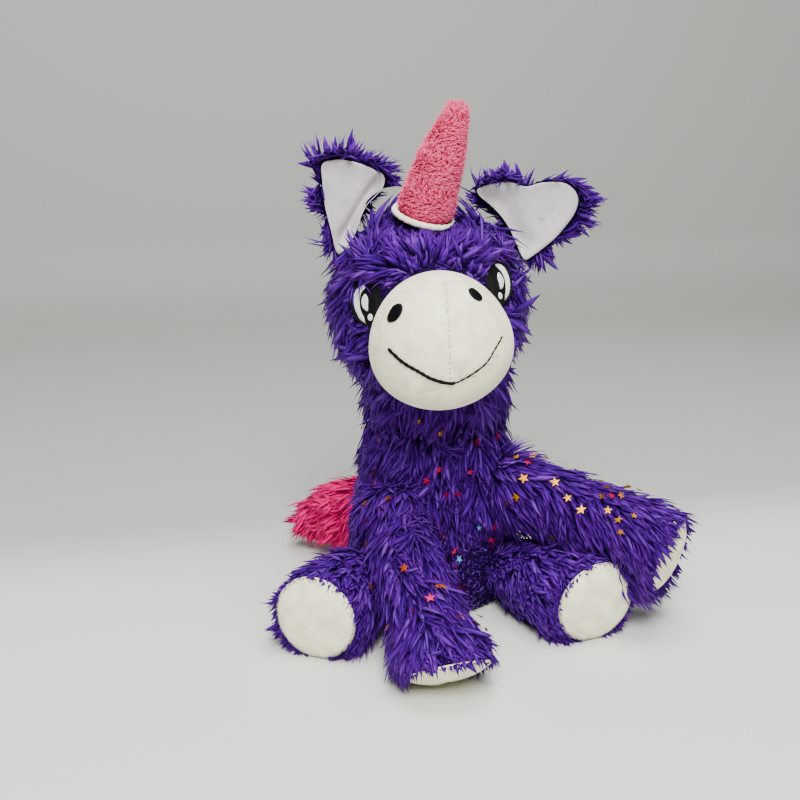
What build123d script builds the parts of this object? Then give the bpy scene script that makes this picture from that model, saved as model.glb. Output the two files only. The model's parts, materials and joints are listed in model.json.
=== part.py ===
from build123d import *
import os
from math import cos, radians, sin, sqrt

# A seated plush unicorn, in millimetres. +Z is up, the toy looks along -Y, and "left" and
# "right" are the toy's own, so its left side is at +X. The origin is the middle of the flat
# patch that it sits on.

os.makedirs("parts", exist_ok=True)

# Cloth, thread and clearances
COVER = 3.0  # backing cloth with its long pile pressed flat
VELBOA = 1.8  # short-pile cloth of the muzzle, the soles and the ear linings
MINKY = 2.0  # short-pile cloth of the horn
THREAD = 0.8  # how far embroidery stands out
SLACK = 0.4  # between a cover and the filling in it
JOINT_GAP = 0.8  # between two pieces that move against each other

# Torso: a pear that sits on a flat patch and ends in a round collar for the neck
SEAT_R = 37.0
BELLY_R = 41.5
BELLY_Z = 30.0
CHEST_R = 37.0
CHEST_Z = 72.0
COLLAR_Z = 104.0
PELLETS_R = 29.0
PELLETS_HALF_H = 11.0

# Neck: a stuffed ball between the torso's collar and the head
NECK_R = 34.0
NECK_Z = 118.0
NECK_TUBE_H = 46.0

# Head and muzzle
HEAD_SIDE = -6.0  # the head's middle from the neck's, towards +X
HEAD_BACK = 29.0  # behind the front of the throat
HEAD_UP = 14.0  # over the neck's crown
HEAD_HALF = (47.0, 45.0, 45.0)
HEAD_TILT = -5.5  # about the line of sight, the toy's right side lower
HEAD_TURN = -4.0  # about the vertical, towards the toy's right
MUZZLE_SIDE = -6.5  # the muzzle's middle from the head's, towards +X
MUZZLE_OUT = 8.0  # in front of the head's skin
MUZZLE_DOWN = 10.5
MUZZLE_HALF = (35.5, 37.0, 34.0)
MUZZLE_TILT = -9.0
MUZZLE_TURN = -9.0
NOSTRIL_R = 3.9
NOSTRIL_OUT = 18.8  # from the muzzle's middle, sideways
NOSTRIL_UP = 22.0
SMILE_HALF_W = 26.5
SMILE_DROP = 14.0  # lowest stitch under the muzzle's middle
SMILE_RISE = 17.0  # from the lowest stitch to the corners
STITCH_W = 1.6

# Embroidered eyes, on the head beside the muzzle
EYE_R = 9.2
EYE_STRETCH = 1.2  # height over width
EYE_RIM = 1.5
PUPIL_R = 5.2
PUPIL_SHIFT = 0.6  # of the white's free width, towards the muzzle
GLINTS = ((-1.4, 2.8, 1.5), (1.6, -2.8, 1.05))  # place in the pupil, and radius
EYE_SIDE = 33.0  # from the head's middle, sideways
EYE_UP = 9.0

# Horn, on a cord ring
HORN_BASE_R = 13.5
HORN_TIP_R = 5.2
HORN_LENGTH = 59.0
HORN_ROOT_DEPTH = 6.0
HORN_ROOM = 3.2  # under the horn's root
HORN_SIDE = -4.0  # the horn's root from the head's middle, towards +X
HORN_BACK = -7.0
HORN_UP = 1.0  # over the crown
HORN_LEAN_SIDE = 13.0  # towards +X
HORN_LEAN_FRONT = 16.0
RING_CORD_R = 1.3

# Ears: two cloth plates each, hinged along the seam on the head
EAR_BACK_T = 3.5
EAR_WIDTH = 44.0
EAR_HEIGHT = 47.0
EAR_TIP_R = 8.0
EAR_SEAM_IN = 4.0  # how much shorter the seam is at each end than the ear is wide
EAR_TUCK = 10.0  # how far the plates reach past the seam, to be cut to the head
EAR_FULL_AT = 10.0  # height of the widest place
EAR_RIM = 2.5  # how far the furry back stands past the lining
EAR_GAP = 2.2  # from the head's skin, which the plate swings over
# name: the seam's middle inside the head's side, behind its middle and under its crown, and
# which way the tip points, in degrees from +X up towards +Z
EARS = {"ear_right": (-1, 12.0, 7.0, 12.0, 107), "ear_left": (1, 5.0, 7.0, 10.0, 30)}

# Legs and tail: ball root, tube that widens, closed by a sole
FORELEG_RADII = (10.0, 17.0, 19.5, 21.0)
FORELEG_LENGTH = 97.0
TAKEN_UP = 6.0  # of the left foreleg, pushed back into its seam
HIND_RADII = (10.5, 19.0, 21.0, 21.5)
HIND_LENGTH = 57.0
SOLE_DOME = 5.0
SOLE_REACH = 16.0
TAIL_RADII = (7.0, 13.0, 15.0, 9.0)
TAIL_LENGTH = 66.0
SHOULDER_OUT = 8.0  # the leg's pivot stands this far off the torso's skin
HIP_OUT = 5.5
TAIL_OUT = 4.5

BIG = 400.0


def save(solid, node):
    solid.label = node
    export_step(solid, f"parts/{node}.step")


def ellipsoid(half_x, half_y, half_z):
    return scale(Sphere(1), by=(half_x, half_y, half_z))


def grown(halves, by):
    return tuple(half + by for half in halves)


def direction(heading, dip):
    """The unit vector that points heading degrees from +X towards +Y and dip degrees down."""
    level = cos(radians(dip))
    return (level * cos(radians(heading)), level * sin(radians(heading)), -sin(radians(dip)))


def beyond(plane):
    """The half space on the side that the plane's normal points to."""
    return plane * Pos(0, 0, BIG / 2) * Box(BIG, BIG, BIG)


ABOVE_FLOOR = beyond(Plane.XY)


def turned(profile):
    """A solid turned about Z from a closed outline in radius and height."""
    return revolve(Plane.XZ * make_face(profile), Axis.Z)


def tube(radii, length, inset=0.0, reach=0.0):
    """A tube along +Z with a ball root at the origin, its radii evenly spaced, and a flat end."""
    root = radii[0] - inset
    step = length / (len(radii) - 1)
    side = Spline(*[(r - inset, step * i) for i, r in enumerate(radii)], tangents=[(0, 1), (0, 1)])
    ball = CenterArc((0, 0), root, -90, 90)
    end = Polyline(side @ 1, (radii[-1] - inset, length + reach), (0, length + reach), (0, -root))
    return turned(ball + side + end)


def tipped_tube(radii, length, inset=0.0):
    """The same tube, closed by a round tip."""
    root = radii[0] - inset
    tip = radii[-1] - inset
    shoulder = length - radii[-1]
    step = shoulder / (len(radii) - 1)
    side = Spline(*[(r - inset, step * i) for i, r in enumerate(radii)], tangents=[(0, 1), (0, 1)])
    ball = CenterArc((0, 0), root, -90, 90)
    cap = CenterArc((0, shoulder), tip, 0, 90)
    return turned(ball + side + cap + Line((0, shoulder + tip), (0, -root)))


# Torso ---------------------------------------------------------------------------------------

NECK_POCKET_R = NECK_R + JOINT_GAP
COLLAR_R = sqrt(NECK_POCKET_R**2 - (NECK_Z - COLLAR_Z) ** 2) + COVER


def torso_side(inset):
    rim = [(SEAT_R, 0), (BELLY_R, BELLY_Z), (CHEST_R, CHEST_Z), (COLLAR_R, COLLAR_Z)]
    return Spline(*[(r - inset, z) for r, z in rim], tangents=[(0.8, 1), (0, 1)])


def torso_form(inset):
    side = torso_side(inset)
    top = side @ 1
    form = turned(side + Polyline(top, (0, top.Y), (0, 0), side @ 0))
    return form & beyond(Plane.XY.offset(inset))


def skin_radius(z):
    """The radius of the torso's skin at height z, found by halving."""
    side = torso_side(0)
    low, high = 0.0, 1.0
    for _ in range(40):
        middle = (low + high) / 2
        if (side @ middle).Y < z:
            low = middle
        else:
            high = middle
    return (side @ low).X


def pivot(bearing, z, out):
    """A point on the torso at a bearing from +X and a height, so far outside its skin."""
    reach = skin_radius(z) + out
    return (reach * cos(radians(bearing)), reach * sin(radians(bearing)), z)


HIND_Z = HIND_RADII[-1]  # the hind legs lie on the floor

# name: where the root sits (bearing, height, out), heading, dip, dip of the sole, radii, length
LIMBS = {
    "foreleg_right": (-132, 62, SHOULDER_OUT, -84, 31, 55, FORELEG_RADII, FORELEG_LENGTH),
    "foreleg_left": (-40, 72, SHOULDER_OUT, -33, 17, 17, FORELEG_RADII, FORELEG_LENGTH - TAKEN_UP),
    "hind_leg_right": (-147, HIND_Z, HIP_OUT, -131, 0, 0, HIND_RADII, HIND_LENGTH),
    "hind_leg_left": (-40, HIND_Z, HIP_OUT, -63, 0, 0, HIND_RADII, HIND_LENGTH),
}
TAIL_ROOT = pivot(104, 37, TAIL_OUT)
TAIL_HEADING = 147
TAIL_DIP = 12

neck_pocket = Pos(0, 0, NECK_Z) * Sphere(NECK_POCKET_R)
pockets = neck_pocket + Pos(*TAIL_ROOT) * Sphere(TAIL_RADII[0] + JOINT_GAP)
for bearing, z, out, _, _, _, radii, _ in LIMBS.values():
    pockets += Pos(*pivot(bearing, z, out)) * Sphere(radii[0] + JOINT_GAP)

pellet_z = COVER + SLACK + PELLETS_HALF_H
pellets = Pos(0, 0, pellet_z) * ellipsoid(PELLETS_R, PELLETS_R, PELLETS_HALF_H)
pellet_room = Pos(0, 0, pellet_z) * ellipsoid(*grown((PELLETS_R, PELLETS_R, PELLETS_HALF_H), SLACK))
save(torso_form(0) - torso_form(COVER) - pockets, "torso_cover")
save(torso_form(COVER + SLACK) - pellet_room - pockets, "torso_stuffing")
save(pellets, "seat_pellet_bag")


# Neck ----------------------------------------------------------------------------------------

neck_band = Pos(0, 0, NECK_Z) * Box(BIG, BIG, NECK_TUBE_H)
neck_shell = Sphere(NECK_R) - Sphere(NECK_R - COVER)
save(Pos(0, 0, NECK_Z) * neck_shell & neck_band, "neck_cover")
save(Pos(0, 0, NECK_Z) * Sphere(NECK_R - COVER - SLACK), "neck_stuffing")


# Head ----------------------------------------------------------------------------------------

head_at = Vector(HEAD_SIDE, HEAD_BACK - NECK_R, NECK_Z + NECK_R + HEAD_UP)
muzzle_at = head_at + Vector(MUZZLE_SIDE, -HEAD_HALF[1] - MUZZLE_OUT, -MUZZLE_DOWN)
horn_at = head_at + Vector(HORN_SIDE, HORN_BACK, HEAD_HALF[2] + HORN_UP)
HEAD = Location(head_at, (0, HEAD_TILT, HEAD_TURN))
MUZZLE = Location(muzzle_at, (0, MUZZLE_TILT, MUZZLE_TURN))
HORN = Location(horn_at) * Rotation(HORN_LEAN_FRONT, HORN_LEAN_SIDE, 0)


def head_form(by):
    return HEAD * ellipsoid(*grown(HEAD_HALF, by))


def muzzle_form(by):
    return MUZZLE * ellipsoid(*grown(MUZZLE_HALF, by))


horn_floor = beyond(Plane.XY.offset(-HORN_ROOT_DEPTH - HORN_ROOM))
horn_pocket = HORN * (Sphere(HORN_BASE_R + JOINT_GAP) & horn_floor)
head_pockets = neck_pocket + horn_pocket
save(head_form(0) - head_form(-COVER) - head_pockets, "head_cover")
save(head_form(-COVER - SLACK) - head_pockets, "head_stuffing")
save(muzzle_form(0) - muzzle_form(-VELBOA) - head_form(0), "muzzle_cover")
save(muzzle_form(-VELBOA - SLACK) - head_form(SLACK), "muzzle_stuffing")

# Nostrils and smile: satin stitch on the front of the muzzle, which faces along local -Y
muzzle_thread = muzzle_form(THREAD) - muzzle_form(0)


def front_column(sketch, x, z):
    """A sketch in X and Z pushed through the front of the muzzle at a place on it."""
    place = MUZZLE * Pos(x, 0, z)
    return place * extrude(Plane.XZ * sketch, 2 * MUZZLE_HALF[1])


for node, side in (("nostril_right", -1), ("nostril_left", 1)):
    save(muzzle_thread & front_column(Circle(NOSTRIL_R), side * NOSTRIL_OUT, NOSTRIL_UP), node)

smile_r = (SMILE_HALF_W**2 + SMILE_RISE**2) / (2 * SMILE_RISE)
smile_ring = Circle(smile_r + STITCH_W / 2) - Circle(smile_r - STITCH_W / 2)
smile_window = Pos(0, -smile_r) * Rectangle(2 * SMILE_HALF_W, 2 * SMILE_RISE)
smile = front_column(smile_ring & smile_window, 0, smile_r - SMILE_DROP)
save(muzzle_thread & smile, "smile_stitch")

# Eyes: flat embroidery, tucked under the edge of the muzzle
head_thread = head_form(THREAD) - head_form(0) - muzzle_form(SLACK)
for side, word in ((-1, "right"), (1, "left")):
    across = EYE_SIDE / HEAD_HALF[0]
    up = EYE_UP / HEAD_HALF[2]
    front = sqrt(1 - across**2 - up**2)
    normal = (side * across / HEAD_HALF[0], -front / HEAD_HALF[1], up / HEAD_HALF[2])
    middle = (side * EYE_SIDE, -front * HEAD_HALF[1], EYE_UP)
    eye = HEAD * Plane(origin=middle, x_dir=(-normal[1], normal[0], 0), z_dir=normal).location

    def column(radius, x=0.0, y=0.0):
        outline = Ellipse(radius, radius * EYE_STRETCH)
        return eye * Pos(x, y, 0) * extrude(outline, EYE_R, both=True)

    pupil_x = -side * (EYE_R - EYE_RIM - PUPIL_R) * PUPIL_SHIFT
    glints = Part() + [column(r, pupil_x + x, y) for x, y, r in GLINTS]
    pupil = column(PUPIL_R, pupil_x)
    white = column(EYE_R - EYE_RIM)
    save(head_thread & (column(EYE_R) - white), f"eye_{word}_outline")
    save(head_thread & (white - pupil), f"eye_{word}_white")
    save(head_thread & (pupil - glints), f"eye_{word}_pupil")
    save(head_thread & glints, f"eye_{word}_glints")


# Horn ----------------------------------------------------------------------------------------

horn_base = beyond(Plane.XY.offset(-HORN_ROOT_DEPTH))
horn_inner_base = beyond(Plane.XY.offset(-HORN_ROOT_DEPTH + MINKY + SLACK))


def horn_form(inset):
    """A cone on a ball root, with a round tip."""
    root, tip = HORN_BASE_R - inset, HORN_TIP_R - inset
    tip_z = HORN_LENGTH - HORN_TIP_R
    lean = (root - tip) / tip_z
    level = sqrt(1 - lean**2)
    foot, head = (root * level, root * lean), (tip * level, tip_z + tip * lean)
    angle = 90 - Vector(level, lean).get_angle(Vector(0, 1))
    ball = CenterArc((0, 0), root, -90, 90 + angle)
    cap = CenterArc((0, tip_z), tip, angle, 90 - angle)
    return turned(ball + Line(foot, head) + cap + Line((0, tip_z + tip), (0, -root)))


horn_skin = horn_form(0) & horn_base
horn_core = horn_form(MINKY + SLACK) & horn_inner_base
horn_hollow = horn_form(MINKY) & beyond(Plane.XY.offset(-HORN_ROOT_DEPTH + MINKY))
save(HORN * (horn_skin - horn_hollow), "horn_cover")
save(HORN * horn_core, "horn_stuffing")
ring_r = HORN_BASE_R + JOINT_GAP + RING_CORD_R
save(HORN * Torus(ring_r, RING_CORD_R) - head_form(0), "horn_ring")


# Ears ----------------------------------------------------------------------------------------


def ear_outline(margin):
    """A leaf with a straight seam along X and a round tip up +Y."""
    half = EAR_WIDTH / 2 - margin
    tip = EAR_TIP_R - margin
    foot, full, tip_y = -EAR_TUCK, EAR_FULL_AT, EAR_HEIGHT - EAR_TIP_R
    seam_half = half - EAR_SEAM_IN
    seam = Line((-seam_half, foot), (seam_half, foot))
    right = Spline((seam_half, foot), (half, full), (tip, tip_y), tangents=[(0.3, 1), (-0.3, 1)])
    left = Spline((-seam_half, foot), (-half, full), (-tip, tip_y), tangents=[(-0.3, 1), (0.3, 1)])
    cap = ThreePointArc(right @ 1, (0, EAR_HEIGHT - margin), left @ 1)
    return make_face(seam + right + cap + left)


def ear_seam(side, inside, behind, under):
    """The middle of an ear's seam, in the corner of the head's box."""
    return head_at + Vector(side * (HEAD_HALF[0] - inside), behind, HEAD_HALF[2] - under)


for node, (side, inside, behind, under, tip_angle) in EARS.items():
    # local X along the seam, local Y to the tip, local Z to the back of the head
    middle = ear_seam(side, inside, behind, under)
    tip_way = (cos(radians(tip_angle)), 0, sin(radians(tip_angle)))
    ear = Plane(origin=middle, x_dir=Vector(*tip_way).cross(Vector(0, 1, 0)), z_dir=(0, 1, 0))
    clear = head_form(EAR_GAP)
    save(ear * extrude(ear_outline(0), EAR_BACK_T) - clear, f"{node}_back")
    save(ear * extrude(ear_outline(EAR_RIM), -VELBOA) - clear, f"{node}_lining")


# Legs ----------------------------------------------------------------------------------------

belly = torso_form(-JOINT_GAP)  # a leg is pressed flat where it would meet the belly
for node, (bearing, z, out, heading, dip, sole_dip, radii, length) in LIMBS.items():
    root = Vector(*pivot(bearing, z, out))
    axis = Plane(origin=root, z_dir=direction(heading, dip))
    end = root + Vector(*direction(heading, dip)) * length
    sole_plane = Plane(origin=end, z_dir=direction(heading, sole_dip))
    past = beyond(sole_plane)
    whole = axis * tube(radii, length, 0, SOLE_REACH) & ABOVE_FLOOR
    whole -= belly - Pos(*root) * Sphere(radii[0] + JOINT_GAP)
    hollow = axis * tube(radii, length, COVER, SOLE_REACH) & beyond(Plane.XY.offset(COVER))
    filling = axis * tube(radii, length, COVER + SLACK, SOLE_REACH)
    filling = filling & beyond(Plane.XY.offset(COVER + SLACK))
    dome_r = (radii[-1] ** 2 + SOLE_DOME**2) / (2 * SOLE_DOME)
    dome = sole_plane * Pos(0, 0, SOLE_DOME - dome_r) * Sphere(dome_r)
    save(whole - hollow - past, f"{node}_cover")
    save(filling - beyond(sole_plane.offset(-SLACK)), f"{node}_stuffing")
    save(whole & past & dome, f"{node}_sole")


# Tail ----------------------------------------------------------------------------------------

tail = Plane(origin=TAIL_ROOT, z_dir=direction(TAIL_HEADING, TAIL_DIP))
tail_skin = tipped_tube(TAIL_RADII, TAIL_LENGTH)
save(tail * (tail_skin - tipped_tube(TAIL_RADII, TAIL_LENGTH, COVER)), "tail_cover")
save(tail * tipped_tube(TAIL_RADII, TAIL_LENGTH, COVER + SLACK), "tail_stuffing")
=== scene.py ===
import json
import math

import bmesh
import bpy
from mathutils import Matrix, Vector, noise
from mathutils.bvhtree import BVHTree


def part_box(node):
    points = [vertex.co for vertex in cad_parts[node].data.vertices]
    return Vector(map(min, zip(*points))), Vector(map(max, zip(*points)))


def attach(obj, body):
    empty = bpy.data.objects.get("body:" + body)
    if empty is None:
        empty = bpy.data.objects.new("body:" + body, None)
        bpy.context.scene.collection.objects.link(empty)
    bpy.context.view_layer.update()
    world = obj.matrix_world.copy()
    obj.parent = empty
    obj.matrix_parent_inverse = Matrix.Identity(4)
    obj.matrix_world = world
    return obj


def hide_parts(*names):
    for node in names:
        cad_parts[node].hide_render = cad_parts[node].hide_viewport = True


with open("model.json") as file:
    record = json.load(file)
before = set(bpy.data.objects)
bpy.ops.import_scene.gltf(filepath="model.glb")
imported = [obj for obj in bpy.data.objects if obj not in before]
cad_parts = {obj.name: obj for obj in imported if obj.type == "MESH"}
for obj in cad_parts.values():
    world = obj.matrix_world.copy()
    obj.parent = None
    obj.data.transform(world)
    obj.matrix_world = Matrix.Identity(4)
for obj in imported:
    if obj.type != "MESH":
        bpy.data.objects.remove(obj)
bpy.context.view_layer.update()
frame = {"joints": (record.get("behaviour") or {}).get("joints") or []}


# ---------------------------------------------------------------------------------------------
# Torso
# The torso is one sewn tube of violet long-pile cloth, stuffed with loose fibre, with a small
# bag of beads in its seat. It is pear-shaped, flat under the seat, and ends in a round collar.
# ---------------------------------------------------------------------------------------------

MM = 0.001


def linear(hex_colour):
    """An sRGB hex colour as the linear colour that a shader takes."""
    parts = [int(hex_colour[i:i + 2], 16) / 255 for i in (1, 3, 5)]
    return [p / 12.92 if p <= 0.04045 else ((p + 0.055) / 1.055) ** 2.4 for p in parts] + [1.0]


def add(tree, kind, settings=(), inputs=(), **links):
    """Adds a node with its settings, plain inputs and links, given by socket name or number."""
    node = tree.nodes.new(kind)
    for key, value in dict(settings).items():
        setattr(node, key, value)
    for key, value in dict(inputs).items():
        node.inputs[key].default_value = value
    for key, source in links.items():
        place = int(key[1:]) if key[0] == "i" and key[1:].isdigit() else key.replace("_", " ")
        tree.links.new(source, node.inputs[place])
    return node


def cloth_material(name, roughness, sheen=0.0, sheen_colour="#ffffff"):
    """A new material with one Principled shader; returns the material, its tree and the shader."""
    material = bpy.data.materials.new(name)
    material.use_nodes = True
    tree = material.node_tree
    shader = tree.nodes["Principled BSDF"]
    shader.inputs["Roughness"].default_value = roughness
    shader.inputs["Specular IOR Level"].default_value = 0.3
    shader.inputs["Sheen Weight"].default_value = sheen
    shader.inputs["Sheen Roughness"].default_value = 0.45
    shader.inputs["Sheen Tint"].default_value = linear(sheen_colour)
    return material, tree, shader


def new_piece(name, vertices, faces, material, smooth=True):
    """A mesh piece at the origin, with its faces turned outwards."""
    mesh = bpy.data.meshes.new(name)
    mesh.from_pydata([tuple(v) for v in vertices], [], [tuple(f) for f in faces])
    tidy = bmesh.new()
    tidy.from_mesh(mesh)
    bmesh.ops.recalc_face_normals(tidy, faces=tidy.faces)
    tidy.to_mesh(mesh)
    tidy.free()
    mesh.materials.append(material)
    mesh.polygons.foreach_set("use_smooth", [smooth] * len(mesh.polygons))
    piece = bpy.data.objects.new(name, mesh)
    bpy.context.scene.collection.objects.link(piece)
    return piece


def ring_form(name, rings, material, around=48):
    """A closed form through rings, each a centre, two half axes as vectors, from one pole on."""
    vertices = [rings[0][0]]
    for centre, first, second in rings[1:-1]:
        for k in range(around):
            a = 2 * math.pi * k / around
            vertices.append(centre + first * math.cos(a) + second * math.sin(a))
    vertices.append(rings[-1][0])
    faces = []
    last = len(vertices) - 1
    for k in range(around):
        n = (k + 1) % around
        faces.append((0, 1 + n, 1 + k))
        for r in range(len(rings) - 3):
            a, b = 1 + r * around, 1 + (r + 1) * around
            faces.append((a + k, a + n, b + n, b + k))
        top = 1 + (len(rings) - 3) * around
        faces.append((top + k, top + n, last))
    return new_piece(name, vertices, faces, material)


def between(p, f):
    """The Catmull-Rom value at 0 <= f <= 1 between the middle two of four values."""
    return 0.5 * (2 * p[1] + (p[2] - p[0]) * f + (2 * p[0] - 5 * p[1] + 4 * p[2] - p[3]) * f ** 2
                  + (3 * p[1] - p[0] - 3 * p[2] + p[3]) * f ** 3)


def smooth_value(stations, t):
    """A value read smoothly from evenly spaced stations at 0 <= t <= 1."""
    n = len(stations) - 1
    i = min(int(t * n), n - 1)
    return between([stations[min(max(i + k, 0), n)] for k in (-1, 0, 1, 2)], t * n - i)


def mottled_cloth(name, roughness, low, high, scale, detail=3.0, sheen=0.0, sheen_colour="#ffffff", nap=None):
    """Cloth whose colour wanders from low to high, with a nap given as strength and height."""
    material, tree, shader = cloth_material(name, roughness, sheen, sheen_colour)
    coordinates = add(tree, "ShaderNodeTexCoord")
    mottle = add(tree, "ShaderNodeTexNoise", inputs={"Scale": scale, "Detail": detail},
                 Vector=coordinates.outputs["Object"])
    tint = add(tree, "ShaderNodeValToRGB", Fac=mottle.outputs["Fac"])
    tint.color_ramp.elements[0].color = linear(low)
    tint.color_ramp.elements[1].color = linear(high)
    tree.links.new(tint.outputs["Color"], shader.inputs["Base Color"])
    if nap:
        raised = add(tree, "ShaderNodeBump", inputs={"Strength": nap[0], "Distance": nap[1]},
                     Height=mottle.outputs["Fac"])
        tree.links.new(raised.outputs[0], shader.inputs["Normal"])
    return material, shader


# Violet fur cloth: woven polyester backing, painted almost black as painted shade deep between the locks
fur_backing_painted_shade, shader = mottled_cloth("violet_fur_backing_painted_shade", 0.95, "#080114", "#200840", 900.0)
shader.inputs["Specular IOR Level"].default_value = 0.05

FLOOR_GAP = 0.0006  # how far the cloth stays above the floor
torso_low, torso_high = [Vector(c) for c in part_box("torso_cover")]
belly_r = (torso_high.x - torso_low.x) / 2
seat_r = belly_r * 0.9
collar_r = belly_r * 0.84
torso_rings = [(Vector((0, 0, FLOOR_GAP)), None, None)]
for height, radius in ((FLOOR_GAP, seat_r * 0.55), (0.001, seat_r * 0.88), (0.004, seat_r)):
    torso_rings.append((Vector((0, 0, height)), Vector((radius, 0, 0)), Vector((0, radius, 0))))
PEAR_FROM = 0.008  # the height at which the side starts
PEAR_RINGS = 14
pear = [seat_r * 1.04, belly_r, belly_r * 0.985, belly_r * 0.93, belly_r * 0.88, collar_r]
for k in range(1, PEAR_RINGS + 1):
    t = k / PEAR_RINGS
    radius = smooth_value(pear, t)
    torso_rings.append((Vector((0, 0, PEAR_FROM + (torso_high.z - PEAR_FROM) * t)),
                        Vector((radius, 0, 0)), Vector((0, radius, 0))))
torso_rings.append((Vector((0, 0, torso_high.z)), Vector((collar_r * 0.6, 0, 0)),
                    Vector((0, collar_r * 0.6, 0))))
torso_rings.append((Vector((0, 0, torso_high.z)), None, None))
torso_skin = ring_form("torso_skin", torso_rings, fur_backing_painted_shade)

# The pile: locks of crimped polyester fibre, 10 to 22 mm long, that clump into pointed spikes.
# Each lock is a thin closed blade; Geometry Nodes sow them over the cloth and comb them.


def lock_shape(name, bend, sway, rings=3):
    """One pointed lock of unit length along +Z and unit width, that bends towards -X."""
    vertices, along, across, faces = [], [], [], []
    for k in range(rings):
        t = k / rings
        half = 0.5 * (0.55 + 1.5 * t - 1.95 * t * t)
        middle = Vector((-bend * t * t, sway * t * t, t))
        for x, y, u in ((0.035, 0.0, 0.5), (-0.018, 1.0, 1.0), (-0.018, -1.0, 0.0)):
            vertices.append(middle + Vector((x * (1 - 0.6 * t), y * half, 0)))
            along.append(t)
            across.append(u)
    vertices.append(Vector((-bend, sway, 1.0)))
    along.append(1.0)
    across.append(0.5)
    faces.append((2, 1, 0))
    for k in range(rings - 1):
        for j in range(3):
            a, b = 3 * k + j, 3 * k + (j + 1) % 3
            faces.append((a, b, b + 3, a + 3))
    top = 3 * (rings - 1)
    faces += [(top + j, top + (j + 1) % 3, len(vertices) - 1) for j in range(3)]
    mesh = bpy.data.meshes.new(name)
    mesh.from_pydata([tuple(v) for v in vertices], [], faces)
    mesh.attributes.new("along", "FLOAT", "POINT").data.foreach_set("value", along)
    mesh.attributes.new("across", "FLOAT", "POINT").data.foreach_set("value", across)
    mesh.polygons.foreach_set("use_smooth", [True] * len(mesh.polygons))
    return bpy.data.objects.new(name, mesh)


lock_shapes = bpy.data.collections.new("lock_shapes")
LOCK_BENDS = ((0.22, 0.5), (0.34, -0.6), (0.16, -1.1), (0.42, 0.9), (0.28, 0.1))
for n, (bend, sway) in enumerate(LOCK_BENDS):
    lock_shapes.objects.link(lock_shape(f"lock_shape_{n}", bend, sway))

SHADES = 24  # how many dye lots the locks are drawn from, one column of the colour map each


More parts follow.
